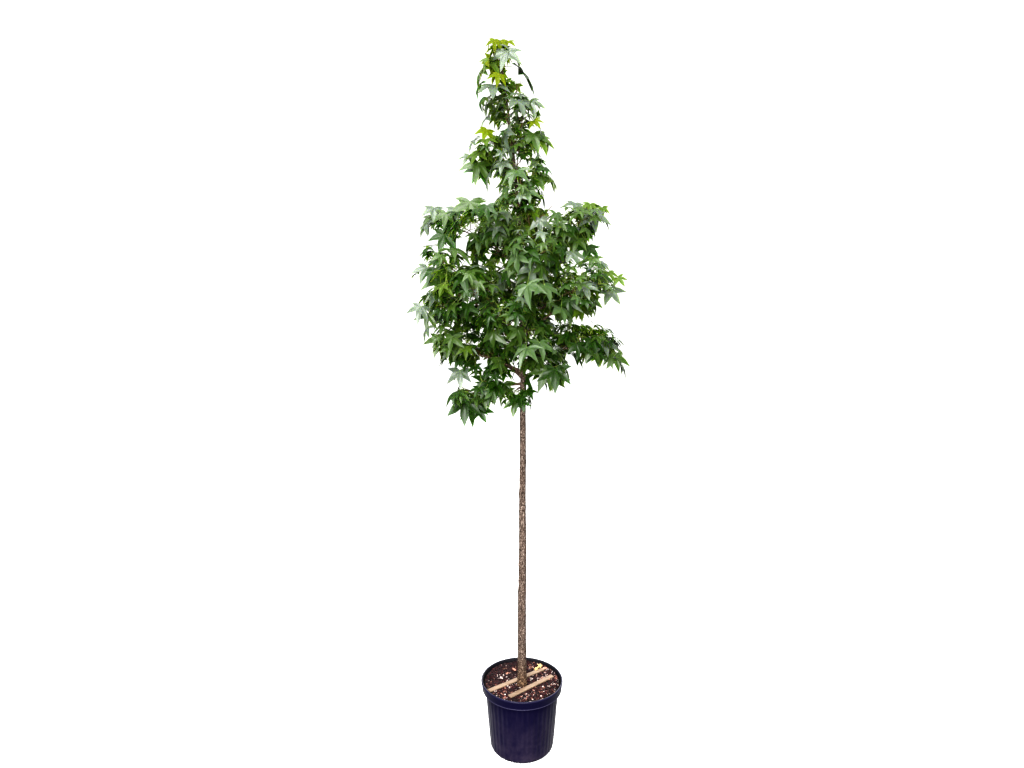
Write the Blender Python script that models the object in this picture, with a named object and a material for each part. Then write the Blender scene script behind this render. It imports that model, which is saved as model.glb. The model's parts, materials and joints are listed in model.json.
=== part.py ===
"""A young sweetgum with a single clear stem, standing in a round nursery pot.

The tree is one straight leader with side boughs. Each bough is bare near the leader and ends where its
leafy mass begins. A mass is one leafy stem with side twigs and five-lobed leaves fused on. Metres, +Z up.
The origin is the middle of the flat underside of the pot, and +Y points from the tree's front to its back.
"""

import math
import random
from collections import namedtuple

import bmesh
import bpy
from mathutils import Matrix, Vector
from mathutils.bvhtree import BVHTree
from mathutils.kdtree import KDTree

SEED = 2
GAP = 0.0003  # clearance between pieces that touch in the real object
UP = Vector((0, 0, 1))

# Pot: a number 7 nursery pot
POT_HEIGHT = 0.295
RIM_RADIUS = 0.178
BAND_HEIGHT = 0.035
BAND_FOOT_RADIUS = 0.172
BODY_TOP_RADIUS = 0.158
BODY_FOOT_RADIUS = 0.138
HEEL_RADIUS = 0.021
WALL = 0.003
LIP_WIDTH = 0.008
LIP_DEPTH = 0.006
LIP_EDGE = 0.002
RIM_EDGE = 0.004
SHOULDER = 0.004  # height of the step below the band
POT_SEGMENTS = 32
POT_SMOOTH = math.radians(40)
HEEL_STEPS = 3
DRAIN_HOLES = 8
DRAIN_HEIGHT = 0.012
DRAIN_RADIUS = 0.009
DRAIN_SIDES = 6
DRAIN_DEPTH = 0.028

# Potting mix and the two laths that lie on it
MIX_TOP = 0.284
MIX_EDGE = 0.004
MIX_SWELL = 0.004  # how far the mix spreads above the step in the pot's wall
MIX_CLEAR = 0.010  # how far below that step its side starts to pull in
MIX_PINCH = 0.002
LATH_WIDTH = 0.022
LATH_THICKNESS = 0.009
LATH_EDGE = 0.0012
LATHS = (  # name, middle (x, y), length, turn in degrees
    ("lath_back", (-0.0230, 0.0030), 0.292, 35.5),
    ("lath_front", (0.0410, -0.0440), 0.246, 39.5),
)

# Trunk: its line and radius, from the flat cut on the potting mix to the tip of the leader
Ring = namedtuple("Ring", "x y z radius")
FOOT = MIX_TOP + GAP
TRUNK = (
    Ring(0.000, -0.028, FOOT, 0.0220),
    Ring(0.000, -0.028, FOOT + 0.018, 0.0203),
    Ring(0.000, -0.028, 0.400, 0.0188),
    Ring(-0.001, -0.028, 0.620, 0.0178),
    Ring(0.002, -0.027, 0.850, 0.0166),
    Ring(0.001, -0.026, 1.080, 0.0148),
    Ring(0.003, -0.026, 1.300, 0.0132),
    Ring(0.002, -0.025, 1.520, 0.0120),
    Ring(0.004, -0.024, 1.720, 0.0108),
    Ring(0.000, -0.022, 1.920, 0.0096),
    Ring(-0.005, -0.020, 2.120, 0.0084),
    Ring(-0.018, -0.018, 2.320, 0.0072),
    Ring(-0.034, -0.016, 2.500, 0.0060),
    Ring(-0.056, -0.016, 2.680, 0.0048),
    Ring(-0.078, -0.018, 2.840, 0.0038),
)
TRUNK_SIDES = 10
LIMB_SMOOTH = math.radians(75)

# Boughs. Azimuth is in degrees from +X, turning towards +Y: 0 right, 90 back, 180 left, 270 front.
# height is where it leaves the trunk. reach and tip are where its stem ends, out from the trunk and above
# the ground. bare is the share with no leaves, which is a node of its own where limb is set.
Bough = namedtuple("Bough", "name limb height azimuth reach tip bare")
BOUGHS = (
    Bough("lowest_spur", False, 1.565, 232, 0.060, 1.550, 0.35),
    Bough("lowest_left", False, 1.585, 186, 0.235, 1.535, 0.36),
    Bough("lowest_front_right", False, 1.610, 312, 0.200, 1.660, 0.25),
    Bough("low_back_left", True, 1.610, 138, 0.300, 1.720, 0.28),
    Bough("low_left", True, 1.630, 192, 0.290, 1.725, 0.28),
    Bough("low_back_right", True, 1.640, 46, 0.300, 1.750, 0.28),
    Bough("low_right", True, 1.670, 2, 0.345, 1.760, 0.28),
    Bough("low_front", True, 1.690, 258, 0.300, 1.820, 0.26),
    Bough("low_back", True, 1.710, 92, 0.320, 1.850, 0.28),
    Bough("middle_left", True, 1.720, 172, 0.370, 1.900, 0.28),
    Bough("middle_front_left", True, 1.760, 222, 0.340, 1.930, 0.26),
    Bough("middle_front_right", True, 1.780, 320, 0.310, 1.930, 0.26),
    Bough("middle_back_right", True, 1.810, 60, 0.320, 1.990, 0.28),
    Bough("middle_right", True, 1.840, 350, 0.315, 2.010, 0.28),
    Bough("middle_back_left", True, 1.850, 124, 0.330, 2.030, 0.28),
    Bough("high_left", True, 1.880, 190, 0.340, 2.050, 0.28),
    Bough("high_front", True, 1.900, 280, 0.270, 2.080, 0.26),
    Bough("high_back_right", True, 1.960, 66, 0.280, 2.150, 0.28),
    Bough("high_back_left", False, 2.000, 118, 0.240, 2.190, 0.20),
    Bough("top_front_left", True, 2.020, 234, 0.240, 2.210, 0.26),
    Bough("top_right", True, 2.050, 6, 0.295, 2.280, 0.28),
    Bough("top_left", True, 2.060, 176, 0.320, 2.255, 0.28),
    Bough("top_back", False, 2.120, 92, 0.180, 2.300, 0.18),
    Bough("top_front_right", False, 2.130, 306, 0.130, 2.260, 0.18),
    Bough("spire_left", False, 2.400, 180, 0.130, 2.545, 0.20),
    Bough("spire_front", False, 2.230, 258, 0.090, 2.350, 0.20),
    Bough("spire_back", False, 2.270, 84, 0.080, 2.390, 0.20),
    Bough("spire_right", False, 2.310, 350, 0.075, 2.430, 0.20),
    Bough("spire_high_front", False, 2.440, 290, 0.060, 2.560, 0.15),
    Bough("spire_high_back", False, 2.500, 98, 0.060, 2.620, 0.15),
    Bough("spire_high_right", False, 2.550, 352, 0.055, 2.670, 0.15),
    Bough("spire_high_left", False, 2.620, 200, 0.055, 2.740, 0.15),
    Bough("spire_top_right", False, 2.700, 20, 0.045, 2.800, 0.15),
)
LEADER_TIP = ((-0.078, -0.018, 2.840), (-0.092, -0.020, 2.925))
BOUGH_SIDES = 5
LIMB_POINTS = 4
LIMB_SKIP = 0.15  # share at a limb's root that others may touch, where it leaves its parent
BOUGH_ROOT_RADIUS = 0.0066
BOUGH_THINNING = 0.0028  # less radius at the root for each metre that a bough starts higher
BOUGH_LIFT = 0.62  # how early a bough gains its height
BOUGH_SHOULDER = 0.02

# Stems and twigs, three-sided
STEM_SIDES = 3
STEM_POINTS = 4
STEM_ROOT_RADIUS = 0.0044
STEM_TIP_RADIUS = 0.0032
TWIG_SIDES = 3
TWIG_ROOT_RADIUS = 0.0032
TWIG_TIP_RADIUS = 0.0029
TWIG_SPACING = 0.062
TWIG_LENGTH = 0.120
TWIG_TAPER = 0.45  # how much shorter the last twig is than the first
TWIG_ANGLE = (44.0, 60.0)
TWIG_LIFT = (0.0, 0.45)
TWIG_SPREAD = 0.15
TWIG_FIRST = 0.4  # where the first twig is, in twig spacings
TWIG_INSET = 0.0012  # how far from the middle of the stem a twig starts
TWIG_BARE = 0.35
NEAR_UPRIGHT = 0.9  # how steep a line is when its frames no longer start from straight up

# Leaves: tips and bays as (angle from the midrib in degrees, share of the blade's length)
LOBES = ((0.0, 1.00), (50.0, 0.94), (108.0, 0.66))
BAYS = ((25.0, 0.52), (80.0, 0.43))
BLADE_LENGTH = 0.104
BLADE_SPREAD = 0.14  # how much blades differ in size
BLADE_THICKNESS = 0.0026
MIDDLE_SHARE = 0.12  # where the blade is thickest, up its midrib
FOOT_SETBACK = 0.03  # how far behind the joint the blade's foot lies
TIP_DROP = 0.20  # how far the tips hang below the middle
BAY_DROP = 0.02
DROOP = (25.0, 88.0)  # degrees below level that midribs point
ROLL = 0.35
LEAST_BEND = math.radians(5)  # between these a blade turns down from its petiole
MOST_BEND = math.radians(80)
LEAST_LEVEL = 0.05  # a petiole that points out less than this leaves its blade facing +X
PETIOLE_LENGTH = 0.050
PETIOLE_SPREAD = 0.25
LEAF_TURN = math.radians(20)  # how far a petiole turns from the side of the limb that it leaves
LEAF_LEAN = (0.2, 1.0)  # how far it leans towards the limb's tip
PETIOLE_RADIUS = 0.0011
PETIOLE_CORNERS = (-30, 210, 90)  # degrees round the petiole, from its right towards its underside
PETIOLE_FOOT = 0.0045  # distance between a twig's tip and the foot of its last leaf
LEAF_SPACING = 0.043
TIP_SPACING = 0.006
STEM_TIP_LEAVES = 3
TWIG_TIP_LEAVES = 2
TRIES = 16
SPACE_STEP = 0.02  # spacing of the points that stand for a stem when the crown's space is shared out
SPACE_SLACK = 0.03  # how far a mass may reach past the middle between its stem and the next
TEST_GROWTH = 1.04  # blades are tested a little larger than they are
ROOT_CLEAR = 0.0065  # and without the root of their petiole, which is in the twig


def clear_scene():
    for obj in list(bpy.data.objects):
        bpy.data.objects.remove(obj)


def principled(name, red, green, blue, roughness):
    material = bpy.data.materials.new(name)
    material.use_nodes = True
    shader = material.node_tree.nodes["Principled BSDF"]
    shader.inputs["Base Color"].default_value = (red, green, blue, 1.0)
    shader.inputs["Roughness"].default_value = roughness
    shader.inputs["Metallic"].default_value = 0.0
    return material


def add_object(name, bm, material):
    """One object from a bmesh, in the scene, with its normals facing out."""
    bmesh.ops.recalc_face_normals(bm, faces=bm.faces)
    mesh = bpy.data.meshes.new(name)
    bm.to_mesh(mesh)
    bm.free()
    obj = bpy.data.objects.new(name, mesh)
    bpy.context.scene.collection.objects.link(obj)
    if material:
        mesh.materials.append(material)
    return obj


def apply_modifiers(obj):
    """The object's mesh becomes what its modifiers make of it."""
    bpy.context.view_layer.update()
    evaluated = obj.evaluated_get(bpy.context.evaluated_depsgraph_get())
    mesh = bpy.data.meshes.new_from_object(evaluated)
    obj.modifiers.clear()
    obj.data = mesh


def smooth(obj, angle):
    """Shades an object smooth, but for its edges sharper than angle."""
    obj.data.shade_smooth()
    obj.data.set_sharp_from_angle(angle=angle)


def cut(obj, cutter):
    modifier = obj.modifiers.new("cut", "BOOLEAN")
    modifier.operation = "DIFFERENCE"
    modifier.object = cutter
    apply_modifiers(obj)


def turned(profile, segments):
    """A closed solid turned about Z, from an outline of (radius, height) whose ends lie on the axis."""
    bm = bmesh.new()
    points = [bm.verts.new((radius, 0, height)) for radius, height in profile]
    edges = [bm.edges.new(pair) for pair in zip(points, points[1:])]
    bmesh.ops.spin(
        bm,
        geom=points + edges,
        cent=(0, 0, 0),
        axis=(0, 0, 1),
        angle=math.tau,
        steps=segments,
        use_merge=True,
    )
    bmesh.ops.remove_doubles(bm, verts=bm.verts, dist=1e-6)
    return bm


def arc(centre, radius, start, end, steps):
    """Points of an arc in a profile, in degrees, ends included."""
    angles = [math.radians(start + (end - start) * i / steps) for i in range(steps + 1)]
    return [(centre[0] + radius * math.cos(a), centre[1] + radius * math.sin(a)) for a in angles]


# ---- pot, potting mix and laths ----


def heel(inset):
    """The rounded foot of the pot's wall, moved in by inset."""
    centre = (BODY_FOOT_RADIUS - HEEL_RADIUS, HEEL_RADIUS)
    return arc(centre, HEEL_RADIUS - inset, -90, 0, HEEL_STEPS)


def make_pot(material):
    band_foot = POT_HEIGHT - BAND_HEIGHT
    outside = [(0, 0)] + heel(0) + [
        (BODY_TOP_RADIUS, band_foot - SHOULDER),
        (BAND_FOOT_RADIUS, band_foot),
        (RIM_RADIUS, POT_HEIGHT - RIM_EDGE),
        (RIM_RADIUS - LIP_EDGE, POT_HEIGHT),
    ]
    inside = [
        (RIM_RADIUS - LIP_WIDTH, POT_HEIGHT),
        (RIM_RADIUS - LIP_WIDTH - LIP_EDGE, POT_HEIGHT - LIP_DEPTH),
        (BAND_FOOT_RADIUS - WALL, band_foot + WALL),
        (BODY_TOP_RADIUS - WALL, band_foot - SHOULDER / 2),
    ] + heel(WALL)[::-1] + [(0, WALL)]
    pot = add_object("pot", turned(outside + inside, POT_SEGMENTS), material)
    bm = bmesh.new()
    for i in range(DRAIN_HOLES):
        turn = Matrix.Rotation(math.tau * (i + 0.5) / DRAIN_HOLES, 4, "Z")
        place = Matrix.Translation((BODY_FOOT_RADIUS - WALL, 0, DRAIN_HEIGHT))
        bmesh.ops.create_cone(
            bm,
            cap_ends=True,
            segments=DRAIN_SIDES,
            radius1=DRAIN_RADIUS,
            radius2=DRAIN_RADIUS,
            depth=DRAIN_DEPTH,
            matrix=turn @ place @ Matrix.Rotation(math.pi / 2, 4, "Y"),
        )
    drills = add_object("drain_drills", bm, None)
    cut(pot, drills)
    bpy.data.objects.remove(drills)
    smooth(pot, POT_SMOOTH)


def make_mix(material):
    """The potting mix and root ball, clear of the pot's wall all round."""
    clear = WALL + GAP
    neck = BODY_TOP_RADIUS - clear
    step = POT_HEIGHT - BAND_HEIGHT - MIX_PINCH
    slope = (BODY_TOP_RADIUS - BODY_FOOT_RADIUS) / (POT_HEIGHT - BAND_HEIGHT - HEEL_RADIUS)
    profile = [(0, clear)] + heel(clear)[::HEEL_STEPS] + [
        (neck - (MIX_CLEAR + MIX_PINCH) * slope, step - MIX_CLEAR),
        (neck - MIX_PINCH, step),
        (neck + MIX_SWELL, MIX_TOP - MIX_EDGE),
        (neck + MIX_SWELL - 2 * MIX_EDGE, MIX_TOP),
        (0, MIX_TOP),
    ]
    mix = add_object("potting_mix", turned(profile, POT_SEGMENTS), material)
    smooth(mix, POT_SMOOTH)


def make_lath(name, middle, length, turn, material):
    bm = bmesh.new()
    bmesh.ops.create_cube(bm, size=1.0)
    bmesh.ops.scale(bm, vec=(length, LATH_WIDTH, LATH_THICKNESS), verts=bm.verts)
    bmesh.ops.bevel(
        bm,
        geom=bm.edges[:],
        offset=LATH_EDGE,
        segments=1,
        profile=0.5,
        affect="EDGES",
        material=-1,
    )
    height = MIX_TOP + GAP + LATH_THICKNESS / 2
    place = Matrix.Translation((middle[0], middle[1], height))
    bm.transform(place @ Matrix.Rotation(math.radians(turn), 4, "Z"))
    add_object(name, bm, material)


# ---- limbs ----


def even(first, last, count):
    """count numbers at even steps from first to last."""
    return [first + (last - first) * i / (count - 1) for i in range(count)]


def carried_frames(points):
    """(side, across) at each point of a line, square to it and turned as little as can be."""
    frames = []
    side = None
    for i in range(len(points)):
        along = (points[min(i + 1, len(points) - 1)] - points[max(i - 1, 0)]).normalized()
        start = side or (UP.cross(along) if abs(along.z) < NEAR_UPRIGHT else Vector((1, 0, 0)))
        side = (start - along * start.dot(along)).normalized()
        frames.append((side, along.cross(side)))
    return frames


def tube(points, radii, sides):
    """A closed tapering tube round a line of points, whose ends are flat."""
    bm = bmesh.new()
    rings = []
    for point, radius, (side, across) in zip(points, radii, carried_frames(points)):
        turns = [math.tau * k / sides for k in range(sides)]
        ring = [point + radius * (math.cos(a) * side + math.sin(a) * across) for a in turns]
        rings.append([bm.verts.new(corner) for corner in ring])
    for low, high in zip(rings, rings[1:]):
        for k in range(sides):
            nxt = (k + 1) % sides
            bm.faces.new((low[k], low[nxt], high[nxt], high[k]))
    bm.faces.new(rings[0][::-1])
    bm.faces.new(rings[-1])
    return bm


def curve(start, bend, end, low, high, count):
    """Points at even shares from low to high of the curve that leaves start for bend and ends at end."""
    return [start.lerp(bend, s).lerp(bend.lerp(end, s), s) for s in even(low, high, count)]


class Limb:
    """A tapering limb that runs straight between a few points."""

    def __init__(self, points, first_radius, last_radius, sides):
        self.points, self.sides = points, sides
        self.radii = even(first_radius, last_radius, len(points))
        self.frames = carried_frames(points)
        self.reaches = [0.0]
        for a, b in zip(points, points[1:]):
            self.reaches.append(self.reaches[-1] + (b - a).length)
        self.length = self.reaches[-1]

    def run(self, share):
        """Which run of the limb a share of its length falls in, and how far along that run."""
        reach = share * self.length
        for i, limit in enumerate(self.reaches[1:]):
            if reach <= limit:
                break
        return i, (reach - self.reaches[i]) / (self.reaches[i + 1] - self.reaches[i])

    def at(self, share):
        i, part = self.run(share)
        return self.points[i].lerp(self.points[i + 1], part)

    def along(self, share):
        i, _ = self.run(share)
        return (self.points[i + 1] - self.points[i]).normalized()

    def facing(self, share, face):
        """The way that one of its sides faces."""
        side, across = self.frames[self.run(share)[0]]
        turn = math.tau * (face + 0.5) / self.sides
        return side * math.cos(turn) + across * math.sin(turn)

    def solid(self, skip=0.0):
        """The limb as a closed tube, without the first skip of its length."""
        i, part = self.run(skip)
        first = self.radii[i] + part * (self.radii[i + 1] - self.radii[i])
        return tube([self.at(skip)] + self.points[i + 1:], [first] + self.radii[i + 1:], self.sides)


def trunk_at(height):
    """The middle of the trunk at a height."""
    for low, high in zip(TRUNK, TRUNK[1:]):
        if height <= high.z:
            break
    share = (height - low.z) / (high.z - low.z)
    return Vector(low[:3]).lerp(Vector(high[:3]), share)


def trunk_bmesh(growth=0.0):
    return tube([Vector(ring[:3]) for ring in TRUNK], [ring.radius + growth for ring in TRUNK], TRUNK_SIDES)


def bough_curve(bough):
    """Where a bough starts, bends and ends."""
    foot = trunk_at(bough.height)
    angle = math.radians(bough.azimuth)
    out = Vector((math.cos(angle), math.sin(angle), 0)) * bough.reach
    rise = bough.tip - bough.height
    return foot, foot + out * 0.5 + UP * (rise * BOUGH_LIFT + BOUGH_SHOULDER), foot + out + UP * rise


# ---- leaves and twigs ----


def leaf_outline(length):
    """Right-hand points of the blade from its foot to its middle tip, as (x, y, drop)."""
    lobe_tips = [(math.radians(a), r, TIP_DROP * r) for a, r in LOBES]
    bays = [(math.radians(a), r, BAY_DROP) for a, r in BAYS]
    order = [lobe_tips[2], bays[1], lobe_tips[1], bays[0], lobe_tips[0]]
    foot = (PETIOLE_RADIUS, -FOOT_SETBACK * length, 0.0)
    return [foot] + [(r * math.sin(a) * length, r * math.cos(a) * length, d * length) for a, r, d in order]


def leaf_bmesh(length, frame, foot):
    """A five-lobed blade with its petiole as one closed shape.

    frame places the blade: its origin is where the petiole meets it, +Y runs along the midrib and +Z is
    its upper side. foot is the far end of the petiole. The blade is thickest in the middle and sharp at
    its edge.
    """
    right = leaf_outline(length)
    left = [(-x, y, d) for x, y, d in right[-2::-1]]
    bm = bmesh.new()
    edge = [bm.verts.new(frame @ Vector((x, y, -d))) for x, y, d in right + left]
    middle = Vector((0, MIDDLE_SHARE * length, 0))
    top = bm.verts.new(frame @ (middle + UP * BLADE_THICKNESS / 2))
    under = bm.verts.new(frame @ (middle - UP * BLADE_THICKNESS / 2))
    for first, second in zip(edge, edge[1:]):
        bm.faces.new((top, first, second))
        bm.faces.new((under, second, first))
    bm.faces.new((top, edge[-1], edge[0]))
    turn = frame.to_3x3()
    along = (frame.translation - foot).normalized()
    across = turn @ Vector((1, 0, 0))
    across = (across - along * across.dot(along)).normalized()
    down = along.cross(across)
    down = -down if down.dot(turn @ UP) > 0 else down
    turns = [math.radians(corner) for corner in PETIOLE_CORNERS]
    corners = [across * math.cos(a) + down * math.sin(a) for a in turns]
    ring = [bm.verts.new(foot + corner * PETIOLE_RADIUS) for corner in corners]
    mouth = (edge[0], edge[-1], under)
    for k in range(3):
        nxt = (k + 1) % 3
        bm.faces.new((mouth[k], mouth[nxt], ring[nxt], ring[k]))
    bm.faces.new(ring[::-1])
    return bm


def leaf_frame(joint, out, droop, roll):
    """Where a blade hangs: its midrib points out and down, and its upper side faces up and out."""
    flat = Vector((out.x, out.y, 0))
    flat = flat.normalized() if flat.length > LEAST_LEVEL else Vector((1, 0, 0))
    midrib = flat * math.cos(droop) - UP * math.sin(droop)
    across = Matrix.Rotation(roll, 3, midrib) @ midrib.cross(UP).normalized()
    axes = Matrix((across, midrib, across.cross(midrib))).transposed().to_4x4()
    return Matrix.Translation(joint) @ axes


class Crown:
    """What is built so far, and whose space is whose."""

    def __init__(self):
        self.built = []
        self.samples = []
        self.finder = None

    def claim(self, owner, limb, low):
        """The space nearest to this limb, from low to its tip, is its owner's."""
        steps = max(2, int(limb.length * (1 - low) / SPACE_STEP))
        self.samples += [(limb.at(low + (1 - low) * i / steps), owner) for i in range(steps + 1)]

    def settle(self):
        self.finder = KDTree(len(self.samples))
        for i, (point, _) in enumerate(self.samples):
            self.finder.insert(point, i)
        self.finder.balance()

    def owns(self, owner, point):
        """True where this owner's limb is the nearest, or nearly so."""
        nearest = self.finder.find(point)[2]
        found = self.finder.find_range(point, nearest + SPACE_SLACK)
        return any(self.samples[i][1] == owner for _, i, _ in found)

    def extent(self, bm):
        """(search tree, middle, radius) of a shape."""
        points = [v.co for v in bm.verts]
        middle = sum(points, Vector()) / len(points)
        return BVHTree.FromBMesh(bm), middle, max((p - middle).length for p in points)

    def add(self, bm):
        self.built.append(self.extent(bm))

    def free(self, bm):
        """True if the shape crosses nothing that is built."""
        tree, middle, radius = self.extent(bm)
        near = (other for other, m, r in self.built if (m - middle).length < r + radius)
        return not any(tree.overlap(other) for other in near)


class Mass:
    """One leafy stem with its twigs and leaves, grown by a seeded rule."""

    def __init__(self, crown, name, stem, leafless, seed):
        self.crown, self.name, self.stem, self.leafless = crown, name, stem, leafless
        self.rng = random.Random(seed)
        self.pieces = []
        crown.claim(name, stem, leafless)

    def keep(self, bm):
        self.crown.add(bm)
        self.pieces.append(bm)

    def fits(self, frame, foot, length):
        """True where a blade stays in this mass's space and clear of all that is built."""
        if not self.crown.owns(self.name, frame @ Vector((0, length / 2, 0))):
            return False
        clear = foot + (frame.translation - foot).normalized() * ROOT_CLEAR
        test = leaf_bmesh(length * TEST_GROWTH, frame, clear)
        free = self.crown.free(test)
        test.free()
        return free

    def try_leaf(self, limb, share, face):
        """Adds the first leaf that fits of several tries at this place, from one side or the next."""
        rng = self.rng
        foot, axis = limb.at(share), limb.along(share)
        for k in range(TRIES):
            turn = Matrix.Rotation(rng.uniform(-LEAF_TURN, LEAF_TURN), 3, axis)
            around = turn @ limb.facing(share, face + k)
            out = (axis * rng.uniform(*LEAF_LEAN) + around).normalized()
            joint = foot + out * PETIOLE_LENGTH * (1 + rng.uniform(-PETIOLE_SPREAD, PETIOLE_SPREAD))
            rise = math.asin(out.z)
            droop = min(max(math.radians(rng.uniform(*DROOP)), LEAST_BEND - rise), MOST_BEND - rise)
            frame = leaf_frame(joint, out, droop, rng.uniform(-ROLL, ROLL))
            length = BLADE_LENGTH * (1 + rng.uniform(-BLADE_SPREAD, BLADE_SPREAD))
            if self.fits(frame, foot, length):
                self.keep(leaf_bmesh(length, frame, foot))
                return

    def grow_leaves(self, limb, low, tip_leaves):
        """Leaves spaced along a limb, each on the next of its sides, and more close behind its tip."""
        last = 1 - PETIOLE_FOOT / limb.length
        step = LEAF_SPACING / limb.length
        crowded = [last - k * TIP_SPACING / limb.length for k in range(tip_leaves)]
        count = max(0, int((crowded[-1] - low) / step))
        spaced = [crowded[-1] - (k + 1) * step for k in range(count)]
        face = self.rng.randrange(limb.sides)
        for k, share in enumerate(crowded + spaced):
            self.try_leaf(limb, share, face + k)

    def grow_twigs(self):
        """Side twigs to left and right in turn, shorter towards the tip."""
        rng = self.rng
        low = self.leafless
        count = int(self.stem.length * (1 - low) / TWIG_SPACING)
        for k in range(count):
            share = low + (1 - low) * (k + TWIG_FIRST) / count
            along = self.stem.along(share)
            side = along.cross(UP).normalized() * (1 if k % 2 else -1)
            angle = math.radians(rng.uniform(*TWIG_ANGLE))
            lift = UP * rng.uniform(*TWIG_LIFT)
            way = (along * math.cos(angle) + side * math.sin(angle) + lift).normalized()
            foot = self.stem.at(share) + way * TWIG_INSET
            reach = TWIG_LENGTH * (1 - TWIG_TAPER * share) * (1 + rng.uniform(-TWIG_SPREAD, TWIG_SPREAD))
            end = foot + way * reach
            twig = Limb([foot, end], TWIG_ROOT_RADIUS, TWIG_TIP_RADIUS, TWIG_SIDES)
            test = twig.solid(ROOT_CLEAR / twig.length)
            if self.crown.owns(self.name, end) and self.crown.free(test):
                self.keep(twig.solid())
                yield twig
            test.free()

    def grow(self):
        twigs = list(self.grow_twigs())
        self.grow_leaves(self.stem, self.leafless, STEM_TIP_LEAVES)
        for twig in twigs:
            self.grow_leaves(twig, TWIG_BARE, TWIG_TIP_LEAVES)

    def join(self, material, cutter):
        """The stem as an object, cut clear of the trunk, with every twig and leaf fused on."""
        obj = add_object("foliage_" + self.name, self.stem.solid(), material)
        if cutter:
            cut(obj, cutter)
        group = bpy.data.collections.new(obj.name)
        bpy.context.scene.collection.children.link(group)
        for bm in self.pieces:
            group.objects.link(add_object("piece", bm, None))
        modifier = obj.modifiers.new("join", "BOOLEAN")
        modifier.operation = "UNION"
        modifier.operand_type = "COLLECTION"
        modifier.collection = group
        modifier.solver = "MANIFOLD"
        apply_modifiers(obj)
        for piece in list(group.objects):
            bpy.data.objects.remove(piece)
        bpy.data.collections.remove(group)
        drop_scraps(obj)


def drop_scraps(obj):
    """Leaves only the largest of the bodies that a mesh holds."""
    bm = bmesh.new()
    bm.from_mesh(obj.data)
    left = set(bm.verts)
    bodies = []
    while left:
        body = {left.pop()}
        edge = list(body)
        while edge:
            fresh = {e.other_vert(v) for v in edge for e in v.link_edges} - body
            body |= fresh
            edge = list(fresh)
        left -= body
        bodies.append(body)
    bodies.sort(key=len)
    bmesh.ops.delete(bm, geom=[v for body in bodies[:-1] for v in body], context="VERTS")
    bm.to_mesh(obj.data)
    bm.free()


def make_crown(bark, green):
    """Boughs and masses: every limb first, then the leaves in the space that is left."""
    crown = Crown()
    trunk = trunk_bmesh(GAP)
    crown.add(trunk)
    cutter = add_object("trunk_cutter", trunk, None)
    masses = []
    for i, bough in enumerate(BOUGHS):
        start, bend, end = bough_curve(bough)
        root = BOUGH_ROOT_RADIUS - BOUGH_THINNING * (bough.height - BOUGHS[0].height)
        low = bough.bare if bough.limb else 0.0
        if bough.limb:
            limb = Limb(curve(start, bend, end, 0.0, low, LIMB_POINTS), root, STEM_ROOT_RADIUS, BOUGH_SIDES)
            test = limb.solid(LIMB_SKIP)
            crown.add(test)
            test.free()
            solid = add_object("bough_" + bough.name, limb.solid(), bark)
            cut(solid, cutter)
            smooth(solid, LIMB_SMOOTH)
            root = STEM_ROOT_RADIUS
            low += GAP / (limb.length / low)
        stem = Limb(curve(start, bend, end, low, 1.0, STEM_POINTS), root, STEM_TIP_RADIUS, STEM_SIDES)
        leafless = 0.0 if bough.limb else bough.bare
        masses.append(Mass(crown, bough.name, stem, leafless, SEED * 1000 + i))
    foot, end = (Vector(point) for point in LEADER_TIP)
    tip = Limb([foot + UP * GAP, end], TRUNK[-1].radius, STEM_TIP_RADIUS, STEM_SIDES)
    masses.append(Mass(crown, "leader_tip", tip, 0.0, SEED * 1000 + len(BOUGHS)))
    crown.settle()
    for mass in masses:
        test = mass.stem.solid(LIMB_SKIP)
        crown.add(test)
        test.free()
    for mass in masses:
        mass.grow()
    for mass in masses:
        mass.join(green, cutter)
    bpy.data.objects.remove(cutter)


def main():
    clear_scene()
    navy = principled("navy_polypropylene", 0.017, 0.014, 0.050, 0.42)
    mix = principled("bark_potting_mix", 0.045, 0.018, 0.014, 0.95)
    pine = principled("bare_pine", 0.62, 0.40, 0.20, 0.70)
    bark = principled("grey_brown_bark", 0.16, 0.11, 0.075, 0.90)
    green = principled("sweetgum_leaf", 0.050, 0.125, 0.025, 0.45)
    make_pot(navy)
    make_mix(mix)
    for name, middle, length, turn in LATHS:
        make_lath(name, middle, length, turn, pine)
    trunk = add_object("trunk", trunk_bmesh(), bark)
    smooth(trunk, LIMB_SMOOTH)
    make_crown(bark, green)


main()
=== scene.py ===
"""Looks of a young sweetgum in a round nursery pot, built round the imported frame.

Each mass of leaves in the frame is grown again here by the same rule, with finer twigs, slender petioles
and leaves of their real size. Metres, +Z up, and the frame's own origin.
"""

import json
import math
import random
from collections import defaultdict, namedtuple

import bmesh
import bpy
import numpy as np
from mathutils import Matrix, Vector, noise
from mathutils.bvhtree import BVHTree
from mathutils.kdtree import KDTree

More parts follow.
